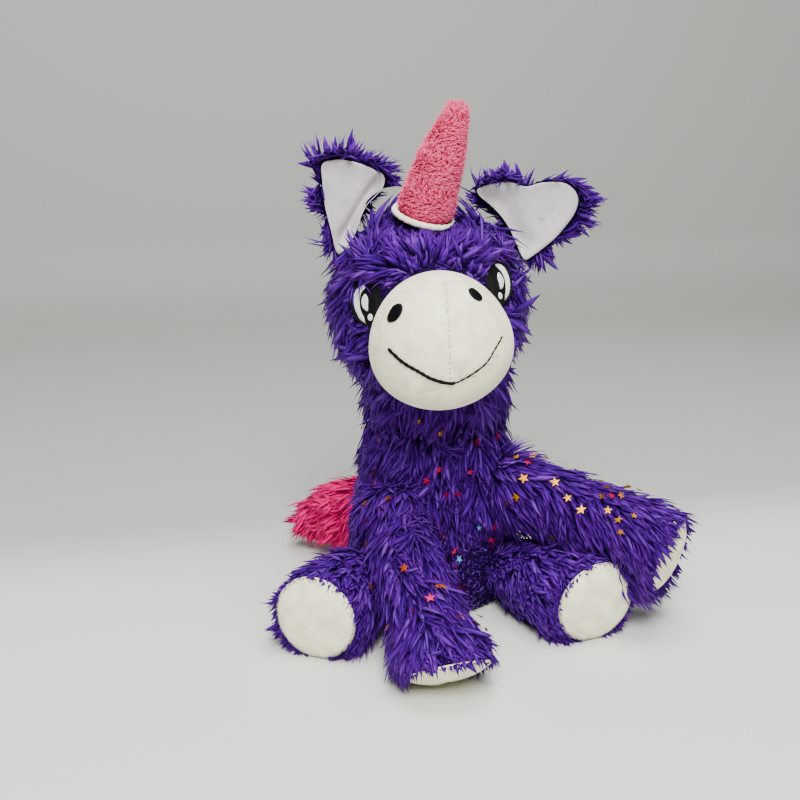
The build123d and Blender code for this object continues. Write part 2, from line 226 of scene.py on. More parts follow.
def pile_tree(name, shapes):
    """Geometry Nodes that sow instances of shapes over a cloth and comb them along "groom"."""
    tree = bpy.data.node_groups.new(name, "GeometryNodeTree")
    face = tree.interface
    face.new_socket("Geometry", in_out="INPUT", socket_type="NodeSocketGeometry")
    for title in ("Density", "Length", "Width", "Lift", "Clump Size", "Gather", "Swirl Size",
                  "Swirl", "Jitter", "Sag", "Stand Off", "Floor"):
        face.new_socket(title, in_out="INPUT", socket_type="NodeSocketFloat")
    face.new_socket("Seed", in_out="INPUT", socket_type="NodeSocketInt")
    face.new_socket("Material", in_out="INPUT", socket_type="NodeSocketMaterial")
    face.new_socket("Geometry", in_out="OUTPUT", socket_type="NodeSocketGeometry")
    given = tree.nodes.new("NodeGroupInput").outputs
    result = tree.nodes.new("NodeGroupOutput")

    def number(operation, first, second=None, third=None):
        node = add(tree, "ShaderNodeMath", {"operation": operation})
        for place, value in enumerate((first, second, third)):
            if isinstance(value, (int, float)):
                node.inputs[place].default_value = value
            elif value is not None:
                tree.links.new(value, node.inputs[place])
        return node.outputs[0]

    def vector(operation, first, second=None, scale=None):
        node = add(tree, "ShaderNodeVectorMath", {"operation": operation})
        tree.links.new(first, node.inputs[0])
        if second is not None:
            tree.links.new(second, node.inputs[1])
        if isinstance(scale, (int, float)):
            node.inputs["Scale"].default_value = scale
        elif scale is not None:
            tree.links.new(scale, node.inputs["Scale"])
        return node.outputs["Value" if operation == "DOT_PRODUCT" else "Vector"]

    def named(title, kind="FLOAT"):
        return add(tree, "GeometryNodeInputNamedAttribute", {"data_type": kind},
                   {"Name": title}).outputs["Attribute"]

    def chance(low, high, offset):
        node = add(tree, "FunctionNodeRandomValue", {"data_type": "FLOAT"})
        node.inputs[2].default_value = low
        node.inputs[3].default_value = high
        tree.links.new(number("ADD", given["Seed"], offset), node.inputs["Seed"])
        return node.outputs[1]

    # sow
    pile = named("pile")
    share = number("SMOOTH_MIN", number("MULTIPLY", pile, 3.0), 1.0, 0.1)
    sown = add(tree, "GeometryNodeDistributePointsOnFaces", {"distribute_method": "RANDOM"},
               Mesh=given["Geometry"], Density=number("MULTIPLY", given["Density"], share),
               Seed=given["Seed"])
    normal = sown.outputs["Normal"]

    # comb: the groom, swirled, turned by clump and by lock, laid along the cloth and then lifted
    place = add(tree, "GeometryNodeInputPosition").outputs[0]
    clump = add(tree, "ShaderNodeTexVoronoi", {"feature": "F1"}, {"Randomness": 1.0}, Vector=place,
                Scale=number("DIVIDE", 1.0, given["Clump Size"]))
    swirl = add(tree, "ShaderNodeTexNoise", {"noise_dimensions": "4D"}, {"Detail": 1.5}, Vector=place,
                Scale=number("DIVIDE", 1.0, given["Swirl Size"]), W=number("MULTIPLY", given["Seed"], 3.7))
    centred, own = [add(tree, "ShaderNodeVectorMath", {"operation": "SUBTRACT"}, {1: (0.5, 0.5, 0.5)},
                        i0=colour) for colour in (swirl.outputs["Color"], clump.outputs["Color"])]
    scatter = add(tree, "FunctionNodeRandomValue", {"data_type": "FLOAT_VECTOR"},
                  {0: (-1, -1, -1), 1: (1, 1, 1)}, Seed=number("ADD", given["Seed"], 5))
    way = vector("ADD", named("groom", "FLOAT_VECTOR"),
                 vector("SCALE", centred.outputs[0], scale=given["Swirl"]))
    way = vector("ADD", way, vector("SCALE", own.outputs[0], scale=1.1))
    way = vector("ADD", way, vector("SCALE", scatter.outputs[0], scale=given["Jitter"]))
    flat = vector("SUBTRACT", way, vector("SCALE", normal, scale=vector("DOT_PRODUCT", way, normal)))
    flat = vector("NORMALIZE", flat)
    lift = number("MULTIPLY", given["Lift"], chance(0.55, 1.5, 11))
    heading = vector("ADD", vector("SCALE", flat, scale=number("COSINE", lift)),
                     vector("SCALE", normal, scale=number("SINE", lift)))
    inward = vector("SUBTRACT", clump.outputs["Position"], place)
    inward = vector("SUBTRACT", inward,
                    vector("SCALE", normal, scale=vector("DOT_PRODUCT", inward, normal)))
    heading = vector("ADD", heading,
                     vector("SCALE", inward, scale=number("DIVIDE", given["Gather"], given["Length"])))
    sag = add(tree, "ShaderNodeCombineXYZ", Z=number("MULTIPLY", given["Sag"], -1.0))
    heading = vector("ADD", heading, sag.outputs[0])
    stood = add(tree, "FunctionNodeAlignRotationToVector", {"axis": "Z"}, Vector=heading)
    facing = vector("ADD", normal, vector("SCALE", scatter.outputs[0], scale=0.45))
    turned = add(tree, "FunctionNodeAlignRotationToVector", {"axis": "X", "pivot_axis": "Z"},
                 Rotation=stood.outputs[0], Vector=facing)

    # size
    grow = number("MULTIPLY", chance(0.55, 1.25, 21), pile)
    long = number("MULTIPLY", given["Length"], grow)
    wide = number("MULTIPLY", given["Width"], chance(0.6, 1.35, 31))
    size = add(tree, "ShaderNodeCombineXYZ", X=long, Y=wide, Z=long)
    raised = add(tree, "GeometryNodeSetPosition", Geometry=sown.outputs["Points"],
                 Offset=vector("SCALE", normal, scale=given["Stand Off"]))
    dyed = add(tree, "GeometryNodeStoreNamedAttribute", {"data_type": "FLOAT", "domain": "POINT"},
               {"Name": "shade"}, Geometry=raised.outputs[0],
               Value=number("FLOOR", chance(0.0, SHADES - 0.001, 41)))

    # place, make real, keep off the floor, and lay every lock on its own column of the colour map
    shape = add(tree, "GeometryNodeCollectionInfo",
                inputs={"Collection": shapes, "Separate Children": True, "Reset Children": True})
    placed = add(tree, "GeometryNodeInstanceOnPoints", inputs={"Pick Instance": True}, Points=dyed.outputs[0],
                 Instance=shape.outputs[0], Rotation=turned.outputs[0], Scale=size.outputs[0])
    real = add(tree, "GeometryNodeRealizeInstances", i0=placed.outputs[0])
    parts = add(tree, "ShaderNodeSeparateXYZ", Vector=place)
    above = add(tree, "ShaderNodeCombineXYZ", X=parts.outputs[0], Y=parts.outputs[1],
                Z=number("SMOOTH_MAX", parts.outputs[2], given["Floor"], 0.002))
    rested = add(tree, "GeometryNodeSetPosition", Geometry=real.outputs[0], Position=above.outputs[0])
    column = number("ADD", named("shade"), number("MULTIPLY_ADD", named("across"), 0.8, 0.1))
    chart = add(tree, "ShaderNodeCombineXYZ", X=number("DIVIDE", column, SHADES),
                Y=number("MULTIPLY_ADD", named("along"), 0.96, 0.02))
    mapped = add(tree, "GeometryNodeStoreNamedAttribute", {"data_type": "FLOAT2", "domain": "CORNER"},
                 {"Name": "OFBake"}, Geometry=rested.outputs[0], Value=chart.outputs[0])
    dressed = add(tree, "GeometryNodeSetMaterial", Geometry=mapped.outputs[0], Material=given["Material"])
    tree.links.new(dressed.outputs[0], result.inputs["Geometry"])
    return tree


long_pile = pile_tree("long_pile", lock_shapes)


def sow(name, cloth, tree, material, groom, pile, **sizes):
    """Sows a pile over a cloth; groom(point, normal) and pile(point, normal) comb and thin it."""
    mesh = cloth.data
    for title, kind in (("groom", "FLOAT_VECTOR"), ("pile", "FLOAT")):
        if title not in mesh.attributes:
            mesh.attributes.new(title, kind, "POINT")
    ways = [c for v in mesh.vertices for c in groom(v.co, v.normal)]
    mesh.attributes["groom"].data.foreach_set("vector", ways)
    mesh.attributes["pile"].data.foreach_set("value", [pile(v.co, v.normal) for v in mesh.vertices])
    sower = cloth.modifiers.new("pile", "NODES")
    sower.node_group = tree
    given = {"Clump Size": 8 * MM, "Gather": 0.9, "Swirl Size": 26 * MM, "Swirl": 2.6, "Jitter": 0.22,
             "Lift": math.radians(30), "Sag": 0.3, "Stand Off": 0.0, "Floor": 0.0004,
             "Material": material, **sizes}
    for socket in tree.interface.items_tree:
        if socket.in_out == "INPUT" and socket.name in given:
            sower[socket.identifier] = given[socket.name]
    bpy.context.view_layer.update()
    evaluated = cloth.evaluated_get(bpy.context.evaluated_depsgraph_get())
    grown = bpy.data.meshes.new_from_object(evaluated)
    grown.name = name
    cloth.modifiers.remove(sower)
    for title in ("shade", "along", "across", "groom", "pile"):
        if title in grown.attributes:
            grown.attributes.remove(grown.attributes[title])
    piece = bpy.data.objects.new(name, grown)
    bpy.context.scene.collection.objects.link(piece)
    return piece


def pile_material(name, root, middle, tip, glint, roughness=0.42):
    """Polyester pile: painted shade at the root where it shades itself, dyed fibre, glossier pale tips,
    painted glints.
    """
    material, tree, shader = cloth_material(name, roughness, 0.06, tip)
    shader.inputs["Specular IOR Level"].default_value = 0.16
    shader.inputs["Specular Tint"].default_value = linear(glint)
    chart = add(tree, "ShaderNodeUVMap", {"uv_map": "OFBake"})
    parts = add(tree, "ShaderNodeSeparateXYZ", Vector=chart.outputs[0])
    # painted shade: each lock runs from the dark root colour, where the pile shades itself, to its tip
    along = add(tree, "ShaderNodeValToRGB", Fac=parts.outputs[1])
    ramp = along.color_ramp.elements
    ramp[0].color = linear(root)
    ramp[1].color = linear(tip)
    ramp[1].position = 0.92
    ramp.new(0.45).color = linear(middle)
    streaks = add(tree, "ShaderNodeMapping", inputs={"Scale": (SHADES * 3.0, 1.2, 1.0)},
                  Vector=chart.outputs[0])
    fibres = add(tree, "ShaderNodeTexNoise", inputs={"Scale": 1.0, "Detail": 2.0},
                 Vector=streaks.outputs[0])
    strength = add(tree, "ShaderNodeMapRange", inputs={1: 0.35, 2: 0.7, 3: 0.55, 4: 1.35},
                   i0=fibres.outputs["Fac"])
    toned = add(tree, "ShaderNodeMix", {"data_type": "RGBA", "blend_type": "MULTIPLY"}, {0: 1.0})
    tree.links.new(along.outputs[0], toned.inputs[6])
    tree.links.new(strength.outputs[0], toned.inputs[7])
    # painted highlight: the lots drawn highest are mixed towards the glint colour
    lots = add(tree, "ShaderNodeTexWhiteNoise", {"noise_dimensions": "1D"})
    column = add(tree, "ShaderNodeMath", {"operation": "MULTIPLY"}, {1: SHADES}, i0=parts.outputs[0])
    lot = add(tree, "ShaderNodeMath", {"operation": "FLOOR"}, i0=column.outputs[0])
    tree.links.new(lot.outputs[0], lots.inputs["W"])
    pale = add(tree, "ShaderNodeMapRange", inputs={1: 0.72, 2: 1.0, 3: 0.0, 4: 0.6},
               i0=lots.outputs["Value"])
    painted_glint = add(tree, "ShaderNodeMix", {"data_type": "RGBA"}, {7: linear(glint)})
    tree.links.new(pale.outputs[0], painted_glint.inputs[0])
    tree.links.new(toned.outputs[2], painted_glint.inputs[6])
    tree.links.new(painted_glint.outputs[2], shader.inputs["Base Color"])
    return material


# the root colour is painted shade, the glint colour a painted highlight
violet_pile = pile_material("violet_polyester_long_pile", "#08001a", "#340467", "#5a1192", "#7f40bd")
FUR_LENGTH = 18 * MM
# Two kinds of lock: broad clumps, and thin wisps that lie over them
# as width, how many to the square metre, relative length, and lift
LOCKS = ((3.3 * MM, 2.7e5, 1.0, math.radians(29)), (1.3 * MM, 3.9e5, 1.04, math.radians(24)))


def grow_fur(name, cloth, body, groom, pile, seed, material=None, finish="violet_long_pile", long=1.0,
             thick=1.0, lift=1.0, **more):
    """Sows both kinds of lock over a cloth that rides on a body."""
    for layer, (width, density, reach, angle) in enumerate(LOCKS):
        fur = sow(f"{name}_fur_{layer}", cloth, long_pile, material or violet_pile, groom, pile,
                  Density=density * thick, Length=FUR_LENGTH * reach * long, Width=width,
                  Lift=angle * lift, Seed=seed + layer, **more)
        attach(fur, body)


def bare(*balls):
    """How far the pile is kept there: 0 inside any of the balls (centre, half axes), 1 outside."""
    def kept(point):
        worst = 1.0
        for centre, halves in balls:
            out = Vector([(point[k] - centre[k]) / halves[k] for k in range(3)]).length
            worst = min(worst, max(0.0, min(1.0, (out - 1.0) * 5.0)))
        return worst
    return kept


def combed_down(point, normal):
    return Vector((normal.x * 0.1, normal.y * 0.1, -1.0))


def torso_pile(point, normal):
    if point.z < 3 * MM or point.z > torso_high.z - 0.5 * MM:
        return 0.0
    # kept short in the hollow between the legs, so the near-black backing and dark roots show there as
    # painted shade
    hollow = (point - Vector((22 * MM, -40 * MM, 22 * MM))).length / (46 * MM)
    return max(0.12, min(1.0, hollow * 1.6 - 0.6))


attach(torso_skin, "torso")
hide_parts("torso_cover", "torso_stuffing", "seat_pellet_bag")
grow_fur("torso", torso_skin, "torso", combed_down, torso_pile, 10)


# ---------------------------------------------------------------------------------------------
# Neck
# The throat is the narrow stretch of the same violet cloth between the collar and the head,
# stuffed firmly enough to carry the head. It turns on the collar and the head nods on it.
# ---------------------------------------------------------------------------------------------

neck_low, neck_high = [Vector(c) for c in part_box("neck_cover")]
neck_mid = (neck_low + neck_high) / 2
neck_r = (neck_high.x - neck_low.x) / 2
neck_rings = [(Vector((0, 0, neck_mid.z - neck_r)), None, None)]
NECK_RINGS = 16
for k in range(1, NECK_RINGS):
    a = math.pi * k / NECK_RINGS
    neck_rings.append((neck_mid - Vector((0, 0, neck_r * math.cos(a))),
                       Vector((neck_r * math.sin(a), 0, 0)), Vector((0, neck_r * math.sin(a), 0))))
neck_rings.append((Vector((0, 0, neck_mid.z + neck_r)), None, None))
neck_skin = ring_form("neck_skin", neck_rings, fur_backing_painted_shade)
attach(neck_skin, "neck")
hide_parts("neck_cover", "neck_stuffing")


def neck_pile(point, normal):
    return 1.0 if neck_low.z - 2 * MM < point.z < neck_high.z else 0.0


grow_fur("neck", neck_skin, "neck", combed_down, neck_pile, 20)


# ---------------------------------------------------------------------------------------------
# Head
# A stuffed ball of violet long-pile cloth, tilted a little to the toy's right. Its pile is
# combed away from the muzzle and down the cheeks, and is trimmed round the eyes and the horn.
# ---------------------------------------------------------------------------------------------

HEAD_TILT = math.radians(-5.5)
HEAD_TURN = math.radians(-4.0)
head_low, head_high = [Vector(c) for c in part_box("head_cover")]
head_half = Vector(((head_high.x - head_low.x) / 2, (head_high.y - head_low.y) / 2, 45 * MM))
head_mid = Vector(((head_high.x + head_low.x) / 2, (head_high.y + head_low.y) / 2,
                   head_high.z - head_half.z))
head_turn = Matrix.Rotation(HEAD_TURN, 3, "Z") @ Matrix.Rotation(HEAD_TILT, 3, "Y")


def ball_form(name, middle, halves, turn, material, rings=24, around=48):
    """A closed ball with its poles on its own Z axis."""
    form = [(middle + turn @ Vector((0, 0, -halves.z)), None, None)]
    for k in range(1, rings):
        a = math.pi * k / rings
        form.append((middle + turn @ Vector((0, 0, -halves.z * math.cos(a))),
                     turn @ Vector((halves.x * math.sin(a), 0, 0)),
                     turn @ Vector((0, halves.y * math.sin(a), 0))))
    form.append((middle + turn @ Vector((0, 0, halves.z)), None, None))
    return ring_form(name, form, material, around)


def joint_place(name):
    """Where a joint is."""
    return Vector(next(joint["pos_m"] for joint in frame["joints"] if joint["name"] == name))


muzzle_low, muzzle_high = [Vector(c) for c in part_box("muzzle_cover")]
muzzle_half = Vector((35.5, 37.0, 34.0)) * MM
muzzle_mid = Vector(((muzzle_low.x + muzzle_high.x) / 2, muzzle_low.y + muzzle_half.y,
                     (muzzle_low.z + muzzle_high.z) / 2))
horn_root = joint_place("horn_flex")

head_skin = ball_form("head_skin", head_mid, head_half, head_turn, fur_backing_painted_shade)
# how far each eye is sewn from the middle of its box
EYE_SHIFT = {"right": Vector((-3.6, -1.0, -0.5)) * MM, "left": Vector((-0.5, -1.5, 3.0)) * MM}
eye_middles = {}
for word, shift in EYE_SHIFT.items():
    low, high = [Vector(c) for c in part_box(f"eye_{word}_outline")]
    eye_middles[word] = (low + high) / 2 + shift
head_bare = bare((muzzle_mid, muzzle_half), (horn_root, Vector((1, 1, 1)) * 16.5 * MM),
                 (eye_middles["right"], Vector((11.5, 14, 14.5)) * MM),
                 (eye_middles["left"], Vector((11, 14, 14.5)) * MM))


def head_groom(point, normal):
    away = point - (muzzle_mid + Vector((0, 0, 6 * MM)))
    back = max(0.0, min(1.0, (point.y - muzzle_mid.y) / (50 * MM)))
    crown = max(0.0, min(1.0, (point.z - horn_root.z + 22 * MM) / (14 * MM)))
    return away.normalized() * (1.2 - 0.6 * back) + Vector((0, 0.1, -0.9 * back * (1 - crown)))


def head_pile(point, normal):
    # trimmed in front of the horn, and full over the crown between the ears
    clear = (point - horn_root).length
    if point.z > horn_root.z - 14 * MM and point.y > horn_root.y - 3 * MM:
        return head_bare(point) * max(0.4, min(1.5, (clear - 13 * MM) / (11 * MM)))
    return head_bare(point) * max(0.34, min(1.0, (clear - 15.5 * MM) / (22 * MM)))


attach(head_skin, "head")
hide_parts("head_cover", "head_stuffing")
grow_fur("head", head_skin, "head", head_groom, head_pile, 30, long=0.95, thick=1.1)


# ---------------------------------------------------------------------------------------------
# Muzzle
# A stuffed oval of off-white velboa (about 1 mm nap), cut as two halves with a seam down the
# middle and a dart under the chin, and sewn to the front of the head.
# ---------------------------------------------------------------------------------------------

velboa, tree, shader = cloth_material("off_white_velboa", 0.85, 0.35, "#fffdf4")
coordinates = add(tree, "ShaderNodeTexCoord")
nap = add(tree, "ShaderNodeTexNoise", inputs={"Scale": 1400.0, "Detail": 4.0, "Roughness": 0.7},
          Vector=coordinates.outputs["Object"])
patches = add(tree, "ShaderNodeTexNoise", inputs={"Scale": 120.0, "Detail": 3.0},
              Vector=coordinates.outputs["Object"])
mixed = add(tree, "ShaderNodeMath", {"operation": "MULTIPLY_ADD"}, {1: 0.45},
            i0=nap.outputs["Fac"], i2=patches.outputs["Fac"])
tint = add(tree, "ShaderNodeValToRGB", i0=mixed.outputs[0])
tint.color_ramp.elements[0].position = 0.5
tint.color_ramp.elements[0].color = linear("#dedcba")
tint.color_ramp.elements[1].position = 0.85
tint.color_ramp.elements[1].color = linear("#fffdd6")
tree.links.new(tint.outputs[0], shader.inputs["Base Color"])
fuzz = add(tree, "ShaderNodeBump", inputs={"Strength": 0.35, "Distance": 0.0006},
           Height=nap.outputs["Fac"])
soft = add(tree, "ShaderNodeBump", inputs={"Strength": 0.25, "Distance": 0.0012},
           Height=patches.outputs["Fac"], Normal=fuzz.outputs[0])
tree.links.new(soft.outputs[0], shader.inputs["Normal"])

MUZZLE_TILT = math.radians(-9.0)
MUZZLE_TURN = math.radians(-9.0)
muzzle_turn = Matrix.Rotation(MUZZLE_TURN, 3, "Z") @ Matrix.Rotation(MUZZLE_TILT, 3, "Y")


def puffed(piece, most, frames=20):
    """Swells a stuffed piece by cloth simulation, moving no point further than most."""
    scene = bpy.context.scene
    start = [v.co.copy() for v in piece.data.vertices]
    cloth = piece.modifiers.new("puff", "CLOTH")
    cloth.settings.use_pressure = True
    cloth.settings.uniform_pressure_force = 4.0
    cloth.settings.quality = 6
    cloth.settings.effector_weights.gravity = 0.0
    cloth.point_cache.frame_start = 1
    cloth.point_cache.frame_end = frames
    for frame_number in range(1, frames + 1):
        scene.frame_set(frame_number)
    evaluated = piece.evaluated_get(bpy.context.evaluated_depsgraph_get())
    ends = [v.co.copy() for v in evaluated.data.vertices]
    piece.modifiers.remove(cloth)
    scene.frame_set(1)
    for vertex, old, end in zip(piece.data.vertices, start, ends):
        move = end - old
        vertex.co = old + move * min(1.0, most / max(move.length, 1e-9))
    piece.data.update()


def refined(piece, levels):
    """Subdivides a piece smoothly, for good."""
    finer = piece.modifiers.new("finer", "SUBSURF")
    finer.levels = levels
    finer.render_levels = levels
    bpy.context.view_layer.update()
    made = bpy.data.meshes.new_from_object(piece.evaluated_get(bpy.context.evaluated_depsgraph_get()))
    piece.modifiers.remove(finer)
    piece.data = made


# the oval is broader below its middle, and fuller at the cheeks than at the nose
muzzle_form = ball_form("muzzle_form", muzzle_mid, muzzle_half * 0.985, muzzle_turn, velboa, 40, 80)
unturn = muzzle_turn.inverted()
for vertex in muzzle_form.data.vertices:
    at = unturn @ (vertex.co - muzzle_mid)
    rise = at.z / muzzle_half.z
    at.x *= 1.0 + 0.055 * math.sin(-rise * 2.0)
    at.y *= 1.0 + 0.03 * math.sin(-rise * 2.4)
    vertex.co = muzzle_mid + muzzle_turn @ at
puffed(muzzle_form, 1.5 * MM)
refined(muzzle_form, 2)
# the seam pulls a shallow groove down the middle, and the dart a fainter one under the chin
DART = (-19 * MM, 2 * MM, -19 * MM, -14.5 * MM)  # from x, to x, height at each end
for vertex in muzzle_form.data.vertices:
    at = unturn @ (vertex.co - muzzle_mid)
    if at.y > 0:
        continue
    seam = math.exp(-((at.x - 0.13 * at.z - 1.3 * MM) / (0.8 * MM)) ** 2)
    along = (at.x - DART[0]) / (DART[1] - DART[0])
    dart = math.exp(-((at.z - DART[2] - (DART[3] - DART[2]) * along) / (0.7 * MM)) ** 2)
    dart *= 1.0 if 0 < along < 1 else 0.0
    tack = 0.6 + 0.4 * math.sin(at.z / MM * 2.6)
    pull = seam * 1.1 * MM * tack * (1.0 if at.z > -13 * MM else 0.0) + dart * 0.4 * MM
    vertex.co -= muzzle_turn @ (at.normalized() * pull)
muzzle_form.data.update()
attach(muzzle_form, "head")
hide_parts("muzzle_cover", "muzzle_stuffing")


# ---------------------------------------------------------------------------------------------
# Nostrils and smile
# Black rayon thread: the nostrils are ovals of satin stitch, side by side across the oval, and
# the smile is one line of stem stitch, thicker on the toy's right, with a few loose hairs.
# ---------------------------------------------------------------------------------------------

muzzle_skin = BVHTree.FromObject(muzzle_form, bpy.context.evaluated_depsgraph_get())

black_thread, tree, shader = cloth_material("black_rayon_thread", 0.5)
shader.inputs["Base Color"].default_value = linear("#050507")
shader.inputs["Specular IOR Level"].default_value = 0.12


def on_skin(skin, outside, towards):
    """The point of a skin that a line from outside meets, and its normal."""
    place, normal, _, _ = skin.ray_cast(outside, towards.normalized())
    if place is None:
        place, normal, _, _ = skin.find_nearest(outside)
    return place, normal


def strand(name, points, radii, material, sides=6):
    """A closed thread through points, with rounded ends."""
    vertices, faces = [], []
    for k, (point, radius) in enumerate(zip(points, radii)):
        before, after = points[max(k - 1, 0)], points[min(k + 1, len(points) - 1)]
        axis = (after - before).normalized()
        first = axis.orthogonal().normalized() if k == 0 else (first - axis * first.dot(axis)).normalized()
        second = axis.cross(first)
        for j in range(sides):
            a = 2 * math.pi * j / sides
            vertices.append(point + (first * math.cos(a) + second * math.sin(a)) * radius)
    for k in range(len(points) - 1):
        for j in range(sides):
            a, b = k * sides + j, k * sides + (j + 1) % sides
            faces.append((a, b, b + sides, a + sides))
    top = (len(points) - 1) * sides
    faces.append(tuple(range(sides - 1, -1, -1)))
    faces.append(tuple(range(top, top + sides)))
    return new_piece(name, vertices, faces, material)


stitch_shape = bpy.data.collections.new("stitch_shape")
STITCH = ((-0.5, 0.12), (-0.42, 0.38), (-0.2, 0.5), (0.0, 0.5), (0.2, 0.5), (0.42, 0.38), (0.5, 0.12))
one_stitch = strand("one_stitch", [Vector((x, 0, 0.35 * (1 - (2 * x) ** 2))) for x, _ in STITCH],
                    [radius for _, radius in STITCH], black_thread)
bpy.context.scene.collection.objects.unlink(one_stitch)
stitch_shape.objects.link(one_stitch)


def placing_tree(name):
    """Geometry Nodes that set one shape on each point, turned by "way" and "up", sized by "size"."""
    tree = bpy.data.node_groups.new(name, "GeometryNodeTree")
    tree.interface.new_socket("Geometry", in_out="INPUT", socket_type="NodeSocketGeometry")
    tree.interface.new_socket("Shape", in_out="INPUT", socket_type="NodeSocketCollection")
    tree.interface.new_socket("Material", in_out="INPUT", socket_type="NodeSocketMaterial")
    tree.interface.new_socket("Geometry", in_out="OUTPUT", socket_type="NodeSocketGeometry")
    given = tree.nodes.new("NodeGroupInput").outputs
    result = tree.nodes.new("NodeGroupOutput")
    named = [add(tree, "GeometryNodeInputNamedAttribute", {"data_type": "FLOAT_VECTOR"},
                 {"Name": title}).outputs["Attribute"] for title in ("way", "up", "size")]
    stood = add(tree, "FunctionNodeAlignRotationToVector", {"axis": "Z"}, Vector=named[1])
    turned = add(tree, "FunctionNodeAlignRotationToVector", {"axis": "X", "pivot_axis": "Z"},
                 Rotation=stood.outputs[0], Vector=named[0])
    shape = add(tree, "GeometryNodeCollectionInfo",
                inputs={"Separate Children": True, "Reset Children": True}, Collection=given["Shape"])
    points = add(tree, "GeometryNodeMeshToPoints", Mesh=given["Geometry"])
    placed = add(tree, "GeometryNodeInstanceOnPoints", inputs={"Pick Instance": True},
                 Points=points.outputs[0], Instance=shape.outputs[0], Rotation=turned.outputs[0],
                 Scale=named[2])
    real = add(tree, "GeometryNodeRealizeInstances", i0=placed.outputs[0])
    dressed = add(tree, "GeometryNodeSetMaterial", Geometry=real.outputs[0], Material=given["Material"])
    tree.links.new(dressed.outputs[0], result.inputs["Geometry"])
    return tree


set_on_points = placing_tree("set_on_points")


def set_on(name, spots, shape, material):
    """One piece with a shape on every spot: (place, way, up, size)."""
    mesh = bpy.data.meshes.new(name + "_spots")
    mesh.from_pydata([tuple(spot[0]) for spot in spots], [], [])
    # all three are made first, because a new attribute moves the others
    for title in ("way", "up", "size"):
        mesh.attributes.new(title, "FLOAT_VECTOR", "POINT")
    for n, title in enumerate(("way", "up", "size"), 1):
        values = [c for spot in spots for c in spot[n]]
        mesh.attributes[title].data.foreach_set("vector", values)
    carrier = bpy.data.objects.new(name + "_spots", mesh)
    bpy.context.scene.collection.objects.link(carrier)
    setter = carrier.modifiers.new("set", "NODES")
    setter.node_group = set_on_points
    given = {"Shape": shape, "Material": material}
    for socket in set_on_points.interface.items_tree:
        if socket.in_out == "INPUT" and socket.name in given:
            setter[socket.identifier] = given[socket.name]
    bpy.context.view_layer.update()
    made = bpy.data.meshes.new_from_object(carrier.evaluated_get(bpy.context.evaluated_depsgraph_get()))
    bpy.data.objects.remove(carrier)
    piece = bpy.data.objects.new(name, made)
    bpy.context.scene.collection.objects.link(piece)
    return piece


def muzzle_spot(x, z):
    """The place of the muzzle's front at x and z from its middle, and the normal there."""
    outside = muzzle_mid + muzzle_turn @ Vector((x, -60 * MM, z))
    return on_skin(muzzle_skin, outside, muzzle_turn @ Vector((0, 1, 0)))


THREAD = 0.55 * MM
# name: middle x, middle z, half width, half height, lean
NOSTRILS = {
    "nostril_right": (-19.7, 19.8, 3.9, 2.8, 0.12),
    "nostril_left": (18.1, 22.0, 2.7, 2.6, -0.5),
}
for node, (x, z, half_w, half_h, lean) in NOSTRILS.items():
    spots = []
    rows = int(3 * half_h * MM / (THREAD * 0.72))
    for k in range(rows):
        rise = -1 + 2 * (k + 0.5) / rows
        width = 2 * half_w * math.sqrt(1 - rise * rise) * (1.06 if k % 2 else 0.96)
        across = lean * rise * half_h * 0.6
        place, normal = muzzle_spot((x + across) * MM, (z + rise * half_h) * MM)
        way = muzzle_turn @ Vector((1, 0, 0.12))
        spots.append((place + normal * 0.15 * MM, way - normal * way.dot(normal), normal,
                      (width * MM, THREAD * 1.1, THREAD * 1.6)))
    nostril = set_on(node + "_stitches", spots, stitch_shape, black_thread)
    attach(nostril, "head")
    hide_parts(node)

# the centre seam shows above the smile as a line of thread sunk in its groove, its white thread greyed as
# painted shade of the groove
groove_shade_thread, tree, shader = cloth_material("white_thread_greyed_as_groove_shade", 0.8)
# painted shade: grey for the shade in the seam's groove
shader.inputs["Base Color"].default_value = linear("#a3a294")
SEAM_POINTS = 30
seam_line = []
for k in range(SEAM_POINTS):
    z = (30.0 - 42.0 * k / (SEAM_POINTS - 1)) * MM
    place, normal = muzzle_spot(0.13 * z + 1.3 * MM, z)
    seam_line.append(place + normal * 0.02 * MM)
seam_radii = [0.05 * MM] + [0.2 * MM] * (SEAM_POINTS - 2) + [0.05 * MM]
centre_seam = strand("muzzle_centre_seam", seam_line, seam_radii, groove_shade_thread)
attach(centre_seam, "head")

# evenly spaced points of the smile, from the toy's right to its left
SMILE_X = (-25.0, -20.0, -14.0, -8.0, 0.0, 6.0, 16.5, 22.5, 27.0)
SMILE_Z = (4.5, -1.0, -5.5, -10.0, -13.5, -12.5, -8.0, -2.5, 1.5)


def along_smile(t):
    """A point of the smile's line at 0 <= t <= 1, as x and z in millimetres."""
    return smooth_value(SMILE_X, t), smooth_value(SMILE_Z, t)


spots = []
STITCHES = 44
for k in range(STITCHES):
    t = (k + 0.5) / STITCHES
    place, normal = muzzle_spot(*[c * MM for c in along_smile(t)])
    ahead, _ = muzzle_spot(*[c * MM for c in along_smile(min(1.0, t + 0.5 / STITCHES))])
    behind, _ = muzzle_spot(*[c * MM for c in along_smile(max(0.0, t - 0.5 / STITCHES))])
    way = ahead - behind
    length = way.length * 1.9
    side = normal.cross(way.normalized())
    doubled = t < 0.52
    thick = 1.25 * MM if doubled else 0.72 * MM
    for shift in ((-0.25, 0.25) if doubled else (0.0,)):
        spots.append((place + normal * 0.12 * MM + side * shift * thick + side * 0.08 * MM * (-1) ** k,
                      way + side * way.length * 0.12, normal, (length, thick * 0.75, thick * 0.9)))
smile = set_on("smile_stitches", spots, stitch_shape, black_thread)
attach(smile, "head")
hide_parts("smile_stitch")

